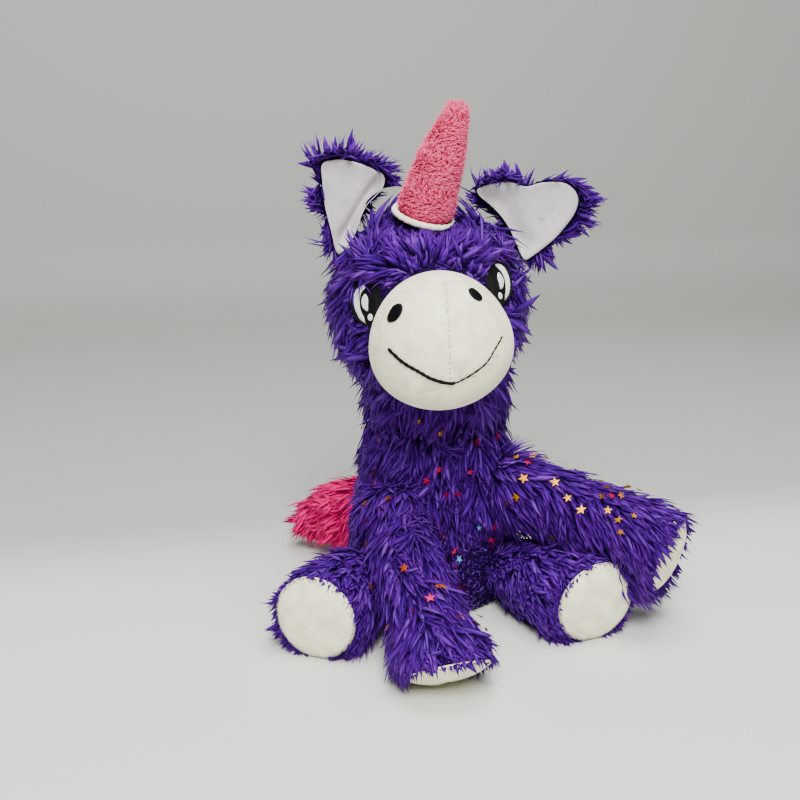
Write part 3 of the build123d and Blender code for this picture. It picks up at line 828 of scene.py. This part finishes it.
# loose hairs of the thread, lying on the velboa beside the line: x and z of both ends
HAIRS = ((27.0, 1.5, 29.5, -1.0), (25.0, 0.0, 27.8, -1.2), (20.0, -5.5, 24.0, -6.6),
         (16.5, -8.0, 20.5, -9.4), (8.0, -12.2, 12.5, -12.8), (5.5, -13.0, 4.0, -10.6),
         (-13.0, -6.3, -15.5, -3.6), (12.0, -10.3, 10.5, -8.2))
for n, (x, z, to_x, to_z) in enumerate(HAIRS):
    points = []
    for k in range(6):
        t = k / 5
        arch = t * (1 - t)
        place, normal = muzzle_spot((x + (to_x - x) * t) * MM, (z + (to_z - z) * t + 0.9 * arch) * MM)
        points.append(place + normal * (0.15 + 0.5 * arch) * MM)
    hair = strand(f"smile_hair_{n}", points, [0.07 * MM] * 6, black_thread, 4)
    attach(hair, "head")


# ---------------------------------------------------------------------------------------------
# Eyes
# Each eye is machine embroidery in rayon thread on the head's cloth: a black outline, a white
# crescent, a black pupil beside the muzzle, and two white glints. Its edge is tucked under the
# muzzle's seam.
# ---------------------------------------------------------------------------------------------


def satin(material, colour):
    """Gives a thread material the fine ribs of satin stitch."""
    tree = material.node_tree
    shader = tree.nodes["Principled BSDF"]
    coordinates = add(tree, "ShaderNodeTexCoord")
    ribs = add(tree, "ShaderNodeTexWave", {"bands_direction": "Z"},
               {"Scale": 900.0, "Distortion": 1.5, "Detail": 1.0, "Detail Scale": 2.0},
               Vector=coordinates.outputs["Object"])
    raised = add(tree, "ShaderNodeBump", inputs={"Strength": 0.5, "Distance": 0.0003},
                 Height=ribs.outputs["Fac"])
    tree.links.new(raised.outputs[0], shader.inputs["Normal"])
    shader.inputs["Base Color"].default_value = linear(colour)


black_satin, _, shader = cloth_material("black_rayon_satin_stitch", 0.5)
shader.inputs["Specular IOR Level"].default_value = 0.12
satin(black_satin, "#050507")
white_satin, _, _ = cloth_material("white_rayon_satin_stitch", 0.5)
satin(white_satin, "#efefec")

# The outlines of one eye, in millimetres from its middle: towards the muzzle, and up
EYE_SHAPES = {
    "outline": ((0, 12.0), (-4.8, 11.4), (-8.8, 8.0), (-10.0, 1.5), (-8.8, -5.0), (-5.6, -9.6), (-1.2, -12.2),
                (3.0, -13.0), (6.4, -10.0), (8.6, -4.0), (9.0, 2.5), (7.4, 8.0), (4.2, 11.2)),
    "white": ((-1.0, 9.6), (-4.2, 8.8), (-6.8, 5.6), (-7.7, 0.8), (-6.9, -4.4), (-4.4, -8.2), (-1.4, -10.2),
              (0.4, -8.0), (0.5, -2.0), (1.0, 4.0), (2.6, 7.0), (2.2, 8.8)),
    "pupil": ((2.2, 9.2), (-1.4, 8.0), (-3.9, 4.0), (-4.6, -1.5), (-3.6, -7.0), (-0.6, -11.6), (3.2, -12.6),
              (6.0, -9.0), (7.6, -3.0), (7.6, 3.0), (5.8, 7.6)),
    "glint_high": ((0.6, 4.6), (-1.6, 3.0), (-2.4, -0.5), (-1.2, -3.4), (1.0, -4.6), (1.7, -1.5), (2.2, 2.0)),
    "glint_low": ((1.6, -5.6), (0.2, -6.8), (0.4, -8.8), (2.2, -9.2), (3.4, -7.4), (2.8, -5.8)),
}
# from and to which height over the cloth each is stitched, in millimetres, and in which thread
EYE_LEVELS = {
    "outline": (-0.4, 1.0, black_satin),
    "white": (0.3, 1.35, white_satin),
    "pupil": (0.3, 1.6, black_satin),
    "glint_high": (1.0, 2.0, white_satin),
    "glint_low": (1.0, 2.0, white_satin),
}


def closed_line(corners, count):
    """A smooth closed line (Catmull-Rom) through corners, as count points."""
    n = len(corners)
    line = []
    for k in range(count):
        t = k * n / count
        line.append(between([Vector(corners[(int(t) + j) % n]) for j in (-1, 0, 1, 2)], t - int(t)))
    return line


def band_faces(start, rings, around):
    """The faces that join rings of points, which follow each other from start."""
    faces = []
    for r in range(rings - 1):
        for k in range(around):
            n = (k + 1) % around
            a, b = start + r * around, start + (r + 1) * around
            faces.append((a + k, a + n, b + n, b + k))
    return faces


def fan_faces(start, around, tip):
    """The faces that join one ring of points to a tip."""
    return [(start + k, start + (k + 1) % around, tip) for k in range(around)]


def patch(name, corners, spot, low, high, material, count=56, rings=7):
    """A domed patch of stitching; spot(x, y) gives a place on the cloth and its normal."""
    line = closed_line(corners, count)
    middle = sum(line, Vector((0, 0))) / count
    levels = [(0, low)] + [(r, low + (high - low) * (0.35 + 0.65 * min(1, r / 2))) for r in range(rings)]
    vertices = []
    for r, rise in levels:
        for point in line:
            at = middle + (point - middle) * (1 - r / rings)
            place, normal = spot(at.x, at.y)
            vertices.append(place + normal * rise)
    place, normal = spot(middle.x, middle.y)
    vertices.append(place + normal * high)
    faces = band_faces(0, len(levels), count) + fan_faces(rings * count, count, len(vertices) - 1)
    faces.append(tuple(range(count)))
    return new_piece(name, vertices, faces, material)


head_shell = BVHTree.FromObject(head_skin, bpy.context.evaluated_depsgraph_get())
for side, word in ((1, "right"), (-1, "left")):
    middle = eye_middles[word]
    _, outward = on_skin(head_shell, middle + (middle - head_mid), head_mid - middle)
    outward = (outward + Vector((0, -0.7, 0))).normalized()
    up = head_turn @ Vector((side * -0.12, 0, 1))
    up = (up - outward * up.dot(outward)).normalized()
    inwards = up.cross(outward) * side
    if inwards.dot(muzzle_mid - middle) < 0:
        inwards = -inwards

    def eye_spot(x, y):
        outside = middle + (inwards * x + up * y) * MM + outward * 30 * MM
        place, normal = on_skin(head_shell, outside, -outward)
        puff = 0.28 * max(0.0, -x - 1.0) * MM
        return place + outward * puff, (normal + outward).normalized()

    pieces = {}
    for title, (low, high, material) in EYE_LEVELS.items():
        pieces[title] = patch(f"eye_{word}_{title}_stitches", EYE_SHAPES[title], eye_spot,
                              low * MM, high * MM, material)
        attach(pieces[title], "head")
    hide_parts(f"eye_{word}_outline")
    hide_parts(f"eye_{word}_white")
    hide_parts(f"eye_{word}_pupil")
    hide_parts(f"eye_{word}_glints")


# ---------------------------------------------------------------------------------------------
# Horn
# A cone of pink minky with a nap of about 3 mm, brushed towards the tip in waves, stuffed firmly
# and ringed at its foot with cream cord.
# ---------------------------------------------------------------------------------------------

HORN_LEAN_SIDE = math.radians(11.0)
HORN_LEAN_FRONT = math.radians(16.0)
horn_turn = Matrix.Rotation(HORN_LEAN_FRONT, 3, "X") @ Matrix.Rotation(HORN_LEAN_SIDE, 3, "Y")
HORN_STATIONS = (13.4, 12.1, 11.0, 9.7, 7.4, 4.6)
HORN_REACH = 54.0
pink_backing, tree, shader = cloth_material("pink_minky_backing", 0.9)
shader.inputs["Base Color"].default_value = linear("#b92f52")


def horn_middle(t):
    """The horn's middle line, bent a little to the side, at 0 <= t <= 1."""
    return horn_root + horn_turn @ Vector((2.4 * t * t, 0, HORN_REACH * t)) * MM


horn_up = horn_turn @ Vector((0, 0, 1))
HORN_RINGS = 18
horn_rings = [(horn_middle(-0.11), None, None)]
for k in range(HORN_RINGS + 1):
    t = k / HORN_RINGS
    r = smooth_value(HORN_STATIONS, t) * MM
    horn_rings.append((horn_middle(t), horn_turn @ Vector((r, 0, 0)), horn_turn @ Vector((0, r, 0))))
tip_r = HORN_STATIONS[-1]
for k in range(1, 6):
    a = math.pi / 2 * k / 6
    r = tip_r * math.cos(a) * MM
    horn_rings.append((horn_middle(1 + tip_r * math.sin(a) * 0.9 / HORN_REACH),
                       horn_turn @ Vector((r, 0, 0)), horn_turn @ Vector((0, r, 0))))
horn_rings.append((horn_middle(1 + tip_r * 0.9 / HORN_REACH), None, None))
horn_skin = ring_form("horn_skin", horn_rings, pink_backing, 32)
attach(horn_skin, "horn")
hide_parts("horn_cover", "horn_stuffing")


def horn_groom(point, normal):
    rise = (point - horn_root).dot(horn_up) / MM
    return horn_up + horn_up.cross(normal) * (0.5 + 0.8 * math.sin(rise * 0.33))


def horn_pile(point, normal):
    return 1.0 if (point - horn_root).dot(horn_up) > 0.8 * MM else 0.0


# the root colour is painted shade, the glint colour a painted highlight
minky_pile = pile_material("pink_minky_nap", "#e81c5a", "#ff4482", "#ff72a2", "#ff9abc", 0.7)
horn_nap = sow("horn_nap", horn_skin, long_pile, minky_pile, horn_groom, horn_pile, Density=4.4e6,
               Length=3.2 * MM, Width=0.5 * MM, Lift=math.radians(42), Seed=60,
               **{"Clump Size": 1.4 * MM, "Swirl Size": 9 * MM, "Swirl": 1.2})
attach(horn_nap, "horn")

# The ring: soft cream cord of two twisted plies, round the foot of the horn
cream_cord, _ = mottled_cloth("cream_cotton_cord", 0.9, "#ecdcc0", "#fff6e4", 900.0, sheen=0.3,
                              sheen_colour="#fff6e8", nap=(0.4, 0.0004))
RING_R = 15.2
CORD_R = 1.6
AROUND, PLY = 120, 12
vertices, faces = [], []
for k in range(AROUND):
    a = 2 * math.pi * k / AROUND
    out = Vector((math.cos(a), math.sin(a), 0))
    for j in range(PLY):
        b = 2 * math.pi * j / PLY
        r = CORD_R * (1 + 0.07 * math.cos(2 * b - 22 * a)) * (1 + 0.05 * math.sin(3 * a))
        at = out * (RING_R + r * math.cos(b)) + Vector((0, 0, r * math.sin(b) - 1.0))
        vertices.append(horn_root + horn_turn @ at * MM)
for k in range(AROUND):
    for j in range(PLY):
        n, m = (k + 1) % AROUND, (j + 1) % PLY
        faces.append((k * PLY + j, n * PLY + j, n * PLY + m, k * PLY + m))
ring = new_piece("horn_ring_cord", vertices, faces, cream_cord)
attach(ring, "head")
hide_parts("horn_ring")


# ---------------------------------------------------------------------------------------------
# Ears
# Each ear is a leaf of violet fur cloth at the back and white velboa in front, sewn round the
# edge and turned, not stuffed. The right one is folded along its inner side, the left one lies
# out to the side with a dip in its upper edge.
# ---------------------------------------------------------------------------------------------

# name: outline from its seam's middle, x and z in millimetres, then the crease's ends, and its
# depth and width
EARS = {
    "ear_right": (((-19, 38), (-13, 40), (-7, 40), (1, 38), (8, 35), (13, 32), (13, 27), (10, 23), (4, 17),
                   (0, 9), (-3, 1), (-8, -6), (-12, -7), (-15, 5), (-18, 18), (-19, 30)),
                  (12, 30, -8, 0), (8.0, 3.0)),
    "ear_left": (((-14, 21), (-7, 25), (4, 26), (13, 23.5), (22, 25.5), (35, 25), (42, 18), (40, 8), (30, -4),
                  (18, -13), (13, -15), (9, -8), (4, 2), (-3, 11)),
                 (-9, 15, 12, -8), (10.0, 7.0)),
}


def ear_sheet(outline, crease, depth, root, front, grown, rings, count):
    """Points of one face of an ear: rings from its edge to its middle, and the middle last."""
    line = closed_line([(x * grown, z * grown) for x, z in outline], count)
    middle = sum(line, Vector((0, 0))) / count
    ax, az, bx, bz = crease
    run = Vector((bx - ax, bz - az))
    points = []
    for r in range(rings + 1):
        q = 1 - r / rings
        for point in (line if r < rings else [middle]):
            at = middle + (point - middle) * q
            off = Vector((at.x - ax, at.y - az))
            t = max(0.0, min(1.0, off.dot(run) / run.length_squared))
            gap = (off - run * t).length
            cup = 4.0 * (1 - q ** 3) + depth[0] * math.exp(-(gap / depth[1]) ** 2) * (1 - q ** 5)
            edge = 1.0 * (1 - q ** 6)
            wave = 0.7 * noise.noise(Vector((at.x * 0.09, at.y * 0.09, 2.1)))
            points.append(root + Vector((at.x, cup + front * edge + wave, at.y)) * MM)
    return points


# the linings are white velboa, painted greyer and cooler than the muzzle as painted shade of the cup and
# painted violet reflection from the fur
lining_painted_shade, _ = mottled_cloth("white_velboa_painted_shade_and_reflection", 0.85, "#ada6ad", "#cfcaca", 260.0, 4.0, 0.3,
                                nap=(0.3, 0.0005))
# sheet: where its two faces lie from the seam's plane, how much larger it is, and its cloth
EAR_SHEETS = {"lining": (-1.6, -0.5, 1.0, lining_painted_shade), "back": (0.3, 2.2, 1.03, fur_backing_painted_shade)}
COUNT, RINGS = 64, 12
for node, (outline, crease, depth) in EARS.items():
    root = joint_place(node + "_flop")
    sheets = {}
    for title, (near, far, grown, material) in EAR_SHEETS.items():
        vertices = []
        for level in (near, far):
            vertices += ear_sheet(outline, crease, depth, root + Vector((0, level * 0.3 * MM, 0)), level,
                                  grown, RINGS, COUNT)
        size = len(vertices) // 2
        faces = []
        for base in (0, size):
            faces += band_faces(base, RINGS, COUNT)
            faces += fan_faces(base + (RINGS - 1) * COUNT, COUNT, base + size - 1)
        faces += [(k, (k + 1) % COUNT, size + (k + 1) % COUNT, size + k) for k in range(COUNT)]
        sheet_piece = new_piece(f"{node}_{title}_cloth", vertices, faces, material)
        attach(sheet_piece, node)
        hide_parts(f"{node}_{title}")
        sheets[title] = sheet_piece
    tip = sum((Vector((x, 0, z)) for x, z in outline), Vector()) / len(outline)
    middle = root + tip * MM

    def ear_groom(point, normal):
        out = point - middle
        return Vector((out.x, out.y * 0.3, out.z)).normalized() + Vector(tip).normalized() * 0.5

    def ear_pile(point, normal):
        return 1.0 if normal.y > 0.3 else 0.0

    grow_fur(node, sheets["back"], node, ear_groom, ear_pile, 70 + len(node), long=0.8, thick=1.15, lift=0.6,
             **{"Clump Size": 10 * MM, "Stand Off": 0.8 * MM})


# ---------------------------------------------------------------------------------------------
# Legs
# Four tubes of violet long-pile cloth, stuffed with fibre and closed by a padded sole of
# off-white velboa. The pile is combed from the body to the foot and falls over the sole's edge.
# ---------------------------------------------------------------------------------------------

# name: heading and dip of the leg and of its sole in degrees, length in mm, radii in mm
LEGS = {
    "foreleg_right": (-84, 31, -84, 55, 97, (13.0, 14.5, 16.0, 20.6), "raise"),
    "foreleg_left": (-34, 19, -45, 12, 89, (13.0, 15.5, 18.5, 20.6), "raise"),
    "hind_leg_right": (-131, 0, -124, 0, 57, (13.5, 19.0, 20.6, 21.0), "splay"),
    "hind_leg_left": (-60, 0, -77, 4, 57, (13.5, 19.0, 20.6, 21.0), "splay"),
}


def aim(heading, dip):
    """The unit vector heading degrees from +X towards +Y and dip degrees down."""
    level = math.cos(math.radians(dip))
    return Vector((level * math.cos(math.radians(heading)), level * math.sin(math.radians(heading)),
                   -math.sin(math.radians(dip))))


SOLE_DOME = 5.0 * MM
COUNT, RINGS, ROOT_RINGS, SOLE_RINGS = 48, 22, 3, 10
LADDER_STITCHES = 14
leg_skins = {}
sole_planes = {}
for node, (heading, dip, sole_heading, sole_dip, length, radii, motion) in LEGS.items():
    root = joint_place(f"{node}_{motion}")
    axis, facing = aim(heading, dip), aim(sole_heading, sole_dip)
    first = axis.cross(Vector((0, 0, 1))).normalized()
    second = first.cross(axis)
    end = root + axis * length * MM
    sole_planes[node] = (end, facing)

    def leg_point(a, t, radius):
        """A point of the leg's skin: at t = 1 it lies in the sole's plane."""
        off = (first * math.cos(a) + second * math.sin(a)) * radius * MM
        reach = length * MM - off.dot(facing) / axis.dot(facing)
        at = root + axis * reach * t + off
        return Vector((at.x, at.y, max(at.z, FLOOR_GAP)))

    vertices = [root - axis * radii[0] * 0.9 * MM]
    for k in range(1, ROOT_RINGS + 1):
        a0 = math.pi / 2 * k / (ROOT_RINGS + 1)
        for j in range(COUNT):
            a = 2 * math.pi * j / COUNT
            off = (first * math.cos(a) + second * math.sin(a)) * radii[0] * math.sin(a0) * MM
            at = root - axis * radii[0] * 0.9 * math.cos(a0) * MM + off
            vertices.append(Vector((at.x, at.y, max(at.z, FLOOR_GAP))))
    for r in range(RINGS + 1):
        t = r / RINGS
        for j in range(COUNT):
            vertices.append(leg_point(2 * math.pi * j / COUNT, t, smooth_value(radii, t)))
    vertices.append(end)
    rows = ROOT_RINGS + RINGS + 1
    faces = [(0, 1 + (j + 1) % COUNT, 1 + j) for j in range(COUNT)] + band_faces(1, rows, COUNT)
    faces += fan_faces(1 + (rows - 1) * COUNT, COUNT, len(vertices) - 1)
    leg_skin = new_piece(f"{node}_skin", vertices, faces, fur_backing_painted_shade)
    leg_skins[node] = leg_skin
    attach(leg_skin, node)
    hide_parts(f"{node}_cover", f"{node}_stuffing")

    # the sole: domed, a little dimpled by its stuffing
    vertices = []
    for r in range(SOLE_RINGS):
        q = 1 - r / SOLE_RINGS
        for j in range(COUNT):
            a = 2 * math.pi * j / COUNT
            rim = leg_point(a, 1.0, radii[-1] + 0.5)
            at = end + (rim - end) * q
            bulge = SOLE_DOME * (1 - q ** 3.2) + 0.5 * MM * noise.noise(at * 90)
            at = at + facing * (bulge if r else 0.0)
            vertices.append(Vector((at.x, at.y, max(at.z, 0.0004))))
    vertices.append(end + facing * SOLE_DOME)
    faces = band_faces(0, SOLE_RINGS, COUNT) + fan_faces((SOLE_RINGS - 1) * COUNT, COUNT, len(vertices) - 1)
    vertices.append(end - facing * 0.5 * MM)
    faces += [((j + 1) % COUNT, j, len(vertices) - 1) for j in range(COUNT)]
    sole = new_piece(f"{node}_sole_pad", vertices, faces, velboa)
    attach(sole, node)
    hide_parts(f"{node}_sole")

    outwards = Vector((root.x, 0, 0)).normalized()
    hanging = node == "foreleg_left"
    droop = 1.0 if hanging else 0.2
    rim = 0.55 if node.startswith("fore") else 0.3
    # the closing seam's line, low on the side of the toy's left foreleg
    closing = []
    for k in range(LADDER_STITCHES if hanging else 0):
        t = 0.52 + 0.3 * k / (LADDER_STITCHES - 1)
        closing.append(leg_point(-0.25, t, smooth_value(radii, t)))

    def leg_groom(point, normal):
        along = max(0.0, (point - root).dot(axis)) / (25 * MM)
        return axis + outwards * 0.9 * math.exp(-along) + Vector((0, 0, -droop))

    def leg_pile(point, normal):
        gap = (end - point).dot(facing)
        if point.z < 1.5 * MM or gap < 0.5 * MM:
            return 0.0
        # shorter at the sole's rim and on the side turned to the hollow between the legs
        inner = max(0.0, -normal.dot(outwards)) * (0.55 if gap > 22 * MM else 0.2)
        if hanging:
            inner = 0.2 if normal.z > -0.1 else 0.0
        parting = min([(point - place).length / (6 * MM) for place in closing] + [1.0])
        return max(rim, min(1.0, (gap + 3 * MM) / (19 * MM)) * (1.0 - inner)) * max(0.2, parting ** 2)

    grow_fur(node, leg_skin, node, leg_groom, leg_pile, 80 + 3 * list(LEGS).index(node),
             long=1.15 if hanging else 0.9, thick=1.05)

    # ladder stitches close the opening through which the leg was filled
    spots = []
    for place in closing:
        up = (place - root - axis * (place - root).dot(axis)).normalized()
        along = (closing[-1] - closing[0]).normalized()
        spots.append((place + up * 0.5 * MM, along.cross(up) + along * 0.3, up,
                      (3.0 * MM, 0.9 * MM, 0.9 * MM)))
    if spots:
        seam = set_on(f"{node}_closing_seam", spots, stitch_shape, black_thread)
        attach(seam, node)


# ---------------------------------------------------------------------------------------------
# Tail
# A soft tube of hot pink long-pile cloth, lightly stuffed, sewn on low at the toy's back and
# lying out to its right.
# ---------------------------------------------------------------------------------------------

tail_root = joint_place("tail_wag")
tail_axis = aim(147, 12)
TAIL_LENGTH = 56 * MM
TAIL_RINGS = 14
pink_cloth, tree, shader = cloth_material("hot_pink_fur_backing_cloth", 0.95)
shader.inputs["Base Color"].default_value = linear("#8c0838")
tail_radii = [r * MM for r in (9.0, 13.0, 15.0, 14.0, 8.0)]
tail_side = tail_axis.cross(Vector((0, 0, 1))).normalized()
tail_up = tail_side.cross(tail_axis)
# along the tail and radius of each ring: a dome at the root, the tube, and a dome at the tip
DOME_ANGLES = [math.pi / 2 * k / 4 for k in (1, 2, 3)]
stations = [(-tail_radii[0] * 0.8 * math.cos(a), tail_radii[0] * math.sin(a)) for a in DOME_ANGLES]
stations += [(TAIL_LENGTH * k / TAIL_RINGS, smooth_value(tail_radii, k / TAIL_RINGS))
             for k in range(TAIL_RINGS + 1)]
stations += [(TAIL_LENGTH + tail_radii[-1] * math.sin(a), tail_radii[-1] * math.cos(a)) for a in DOME_ANGLES]
tail_rings = [(tail_root - tail_axis * tail_radii[0] * 0.8, None, None)]
tail_rings += [(tail_root + tail_axis * reach, tail_side * r, tail_up * r) for reach, r in stations]
tail_rings.append((tail_root + tail_axis * (TAIL_LENGTH + tail_radii[-1]), None, None))
tail_skin = ring_form("tail_skin", tail_rings, pink_cloth, 32)
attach(tail_skin, "tail")
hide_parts("tail_cover", "tail_stuffing")


def tail_groom(point, normal):
    return tail_axis + Vector((0, 0, -0.3))


def tail_pile(point, normal):
    return 1.0


# the root colour is painted shade, the glint colour a painted highlight
pink_pile = pile_material("hot_pink_polyester_long_pile", "#82003a", "#e2006c", "#ff0080", "#ff3a9c")
grow_fur("tail", tail_skin, "tail", tail_groom, tail_pile, 100, material=pink_pile, long=0.85,
         finish="hot_pink_long_pile")


# ---------------------------------------------------------------------------------------------
# Foil stars
# Five-pointed stars of coloured foil, about 5 mm across, are woven in among the pile. They lie
# half sunk between the locks, each colour in its own stretch of the cloth.
# ---------------------------------------------------------------------------------------------

star_shape = bpy.data.collections.new("star_shape")
vertices, faces = [], []
for x in (-0.012, 0.012):
    for k in range(10):
        a = math.pi * k / 5
        r = 0.5 if k % 2 == 0 else 0.21
        vertices.append((x, r * math.sin(a), r * math.cos(a)))
    vertices.append((x * 2.5, 0, 0))
for base in (0, 11):
    faces += fan_faces(base, 10, base + 10)
faces += [(k, (k + 1) % 10, 11 + (k + 1) % 10, 11 + k) for k in range(10)]
star = new_piece("one_star", vertices, faces, violet_pile, smooth=False)
bpy.context.scene.collection.objects.unlink(star)
for title, axis in (("along", 2), ("across", 1)):
    values = [v[axis] + 0.5 for v in vertices]
    star.data.attributes.new(title, "FLOAT", "POINT").data.foreach_set("value", values)
star_shape.objects.link(star)
foil_stars = pile_tree("foil_stars", star_shape)


def foil(name, low, high):
    """Metallised polyester foil in shades from low to high, by the star's dye lot."""
    material, tree, shader = cloth_material(name, 0.48)
    shader.inputs["Metallic"].default_value = 1.0
    chart = add(tree, "ShaderNodeUVMap", {"uv_map": "OFBake"})
    parts = add(tree, "ShaderNodeSeparateXYZ", Vector=chart.outputs[0])
    tint = add(tree, "ShaderNodeValToRGB", Fac=parts.outputs[0])
    tint.color_ramp.elements[0].color = linear(low)
    tint.color_ramp.elements[1].color = linear(high)
    tree.links.new(tint.outputs[0], shader.inputs["Base Color"])
    return material


red_foil = foil("red_and_magenta_foil", "#5a0418", "#c41a58")
gold_foil = foil("gold_foil", "#7a4203", "#d0920f")
green_foil = foil("green_foil", "#0a7a3c", "#2fd07c")
orange_foil = foil("orange_foil", "#c0340c", "#ffa63c")
blue_foil = foil("blue_foil", "#1c50c8", "#86d0ff")


def stretch(body, low, high):
    """Where stars are sown: between two corners, off the face's bare places and clear of soles."""
    def kept(point, normal):
        if not all(low[k] <= point[k] / MM <= high[k] for k in range(3)):
            return 0.0
        if body == "head" and head_bare(point) <= 0.9:
            return 0.0
        if body in sole_planes:
            end, facing = sole_planes[body]
            return 1.0 if (end - point).dot(facing) > 12 * MM else 0.0
        return 1.0
    return kept


def star_groom(point, normal):
    return Vector((0.3, -0.5, -0.8))


# name: body, foil, two corners of the stretch in millimetres, how many to the square metre,
# how far off the cloth in millimetres, and the seed
STARS = {
    "chest_stars": ("torso", red_foil, (-40, -60, 40), (40, -10, 104), 5200, 5.5, 3),
    "flank_stars": ("torso", gold_foil, (-60, -60, 50), (-22, 60, 104), 2600, 6, 5),
    "belly_stars": ("torso", blue_foil, (-40, -60, 20), (40, 60, 90), 700, 6, 8),
    "throat_stars": ("neck", gold_foil, (-60, -60, 100), (0, 0, 118), 3600, 5.5, 9),
    "brow_stars": ("head", green_foil, (-40, -60, 185), (40, 0, 215), 3600, 3.5, 12),
    "cheek_stars": ("head", blue_foil, (-60, -60, 120), (60, 30, 190), 900, 5, 14),
    "foreleg_left_stars": ("foreleg_left", gold_foil, (20, -110, 30), (104, 0, 120), 6200, 5.5, 16),
    "foreleg_left_glitter": ("foreleg_left", red_foil, (30, -110, 10), (120, 0, 120), 1200, 5.5, 19),
    "foreleg_right_stars": ("foreleg_right", red_foil, (-70, -110, 20), (20, 0, 90), 2200, 5.5, 21),
    "foreleg_right_glitter": ("foreleg_right", orange_foil, (-70, -120, 10), (20, 0, 70), 2400, 5.5, 23),
    "hind_leg_right_stars": ("hind_leg_right", gold_foil, (-120, -120, 5), (20, 60, 60), 900, 5.5, 25),
}
skins = {"torso": torso_skin, "neck": neck_skin, "head": head_skin, **leg_skins}
for name, (body, finish, low, high, density, out, seed) in STARS.items():
    stars = sow(name, skins[body], foil_stars, finish, star_groom, stretch(body, low, high),
                Density=float(density), Length=4.9 * MM, Width=4.7 * MM, Lift=math.radians(8), Seed=seed,
                Jitter=1.5, **{"Stand Off": out * MM})
    if len(stars.data.polygons) == 0:
        bpy.data.objects.remove(stars)
        continue
    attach(stars, body)


# ---------------------------------------------------------------------------------------------
# Stage, light and camera
# A sweep of pale paper, with painted shade a little darker behind the toy than under it, lit
# softly by a window in front and to the left, by a ceiling light, and by the room.
# ---------------------------------------------------------------------------------------------

studio_paper, tree, shader = cloth_material("studio_paper", 0.9)
place = add(tree, "ShaderNodeNewGeometry")
parts = add(tree, "ShaderNodeSeparateXYZ", Vector=place.outputs["Position"])
# painted shade: the paper darkens from under the toy towards the back, as the light there falls off
shade = add(tree, "ShaderNodeMapRange", {"interpolation_type": "SMOOTHSTEP"}, {1: 0.03, 2: 0.15},
            i0=parts.outputs[1])
tint = add(tree, "ShaderNodeMix", {"data_type": "RGBA"}, {6: linear("#d6d7d1"), 7: linear("#aeafaa")},
           i0=shade.outputs[0])
tree.links.new(tint.outputs[2], shader.inputs["Base Color"])
SWEEP_Y = (-3.0, 0.78, 0.88, 0.95, 1.00, 1.04, 1.06, 1.07)
SWEEP_Z = (0.0, 0.0, 0.004, 0.012, 0.028, 0.055, 0.10, 1.2)
vertices = [(x, y, z) for x in (-3.0, 3.0) for y, z in zip(SWEEP_Y, SWEEP_Z)]
n = len(SWEEP_Y)
paper = bpy.data.meshes.new("paper")
paper.from_pydata(vertices, [], [(k, n + k, n + k + 1, k + 1) for k in range(n - 1)])
paper.materials.append(studio_paper)
paper.polygons.foreach_set("use_smooth", [True] * len(paper.polygons))
sweep = bpy.data.objects.new("paper_sweep", paper)
bpy.context.scene.collection.objects.link(sweep)

world = bpy.data.worlds.new("soft_room")
world.use_nodes = True
world.node_tree.nodes["Background"].inputs[0].default_value = linear("#ebebe8")
world.node_tree.nodes["Background"].inputs[1].default_value = 0.24
bpy.context.scene.world = world
for name, place, size, power in (("window", (-0.22, -1.05, 1.12), 0.6, 39.0),
                                 ("ceiling", (0.10, -0.15, 1.5), 0.7, 22.0)):
    light = bpy.data.lights.new(name, "AREA")
    light.size = size
    light.energy = power
    lamp = bpy.data.objects.new(name, light)
    lamp.location = place
    lamp.rotation_euler = (Vector((0, 0, 0.1)) - Vector(place)).to_track_quat("-Z", "Y").to_euler()
    bpy.context.scene.collection.objects.link(lamp)

AZIMUTH = math.radians(-12)
ELEVATION = math.radians(14)
DISTANCE = 0.600
AIM = Vector((-0.020, 0.0, 0.112))
camera_data = bpy.data.cameras.new("camera")
camera_data.sensor_width = 36.0
camera_data.lens = 49.95
camera = bpy.data.objects.new("camera", camera_data)
towards = Vector((math.sin(AZIMUTH) * math.cos(ELEVATION), -math.cos(AZIMUTH) * math.cos(ELEVATION),
                  math.sin(ELEVATION)))
camera.location = AIM + towards * DISTANCE
camera.rotation_euler = towards.to_track_quat("Z", "Y").to_euler()
bpy.context.scene.collection.objects.link(camera)
bpy.context.scene.camera = camera
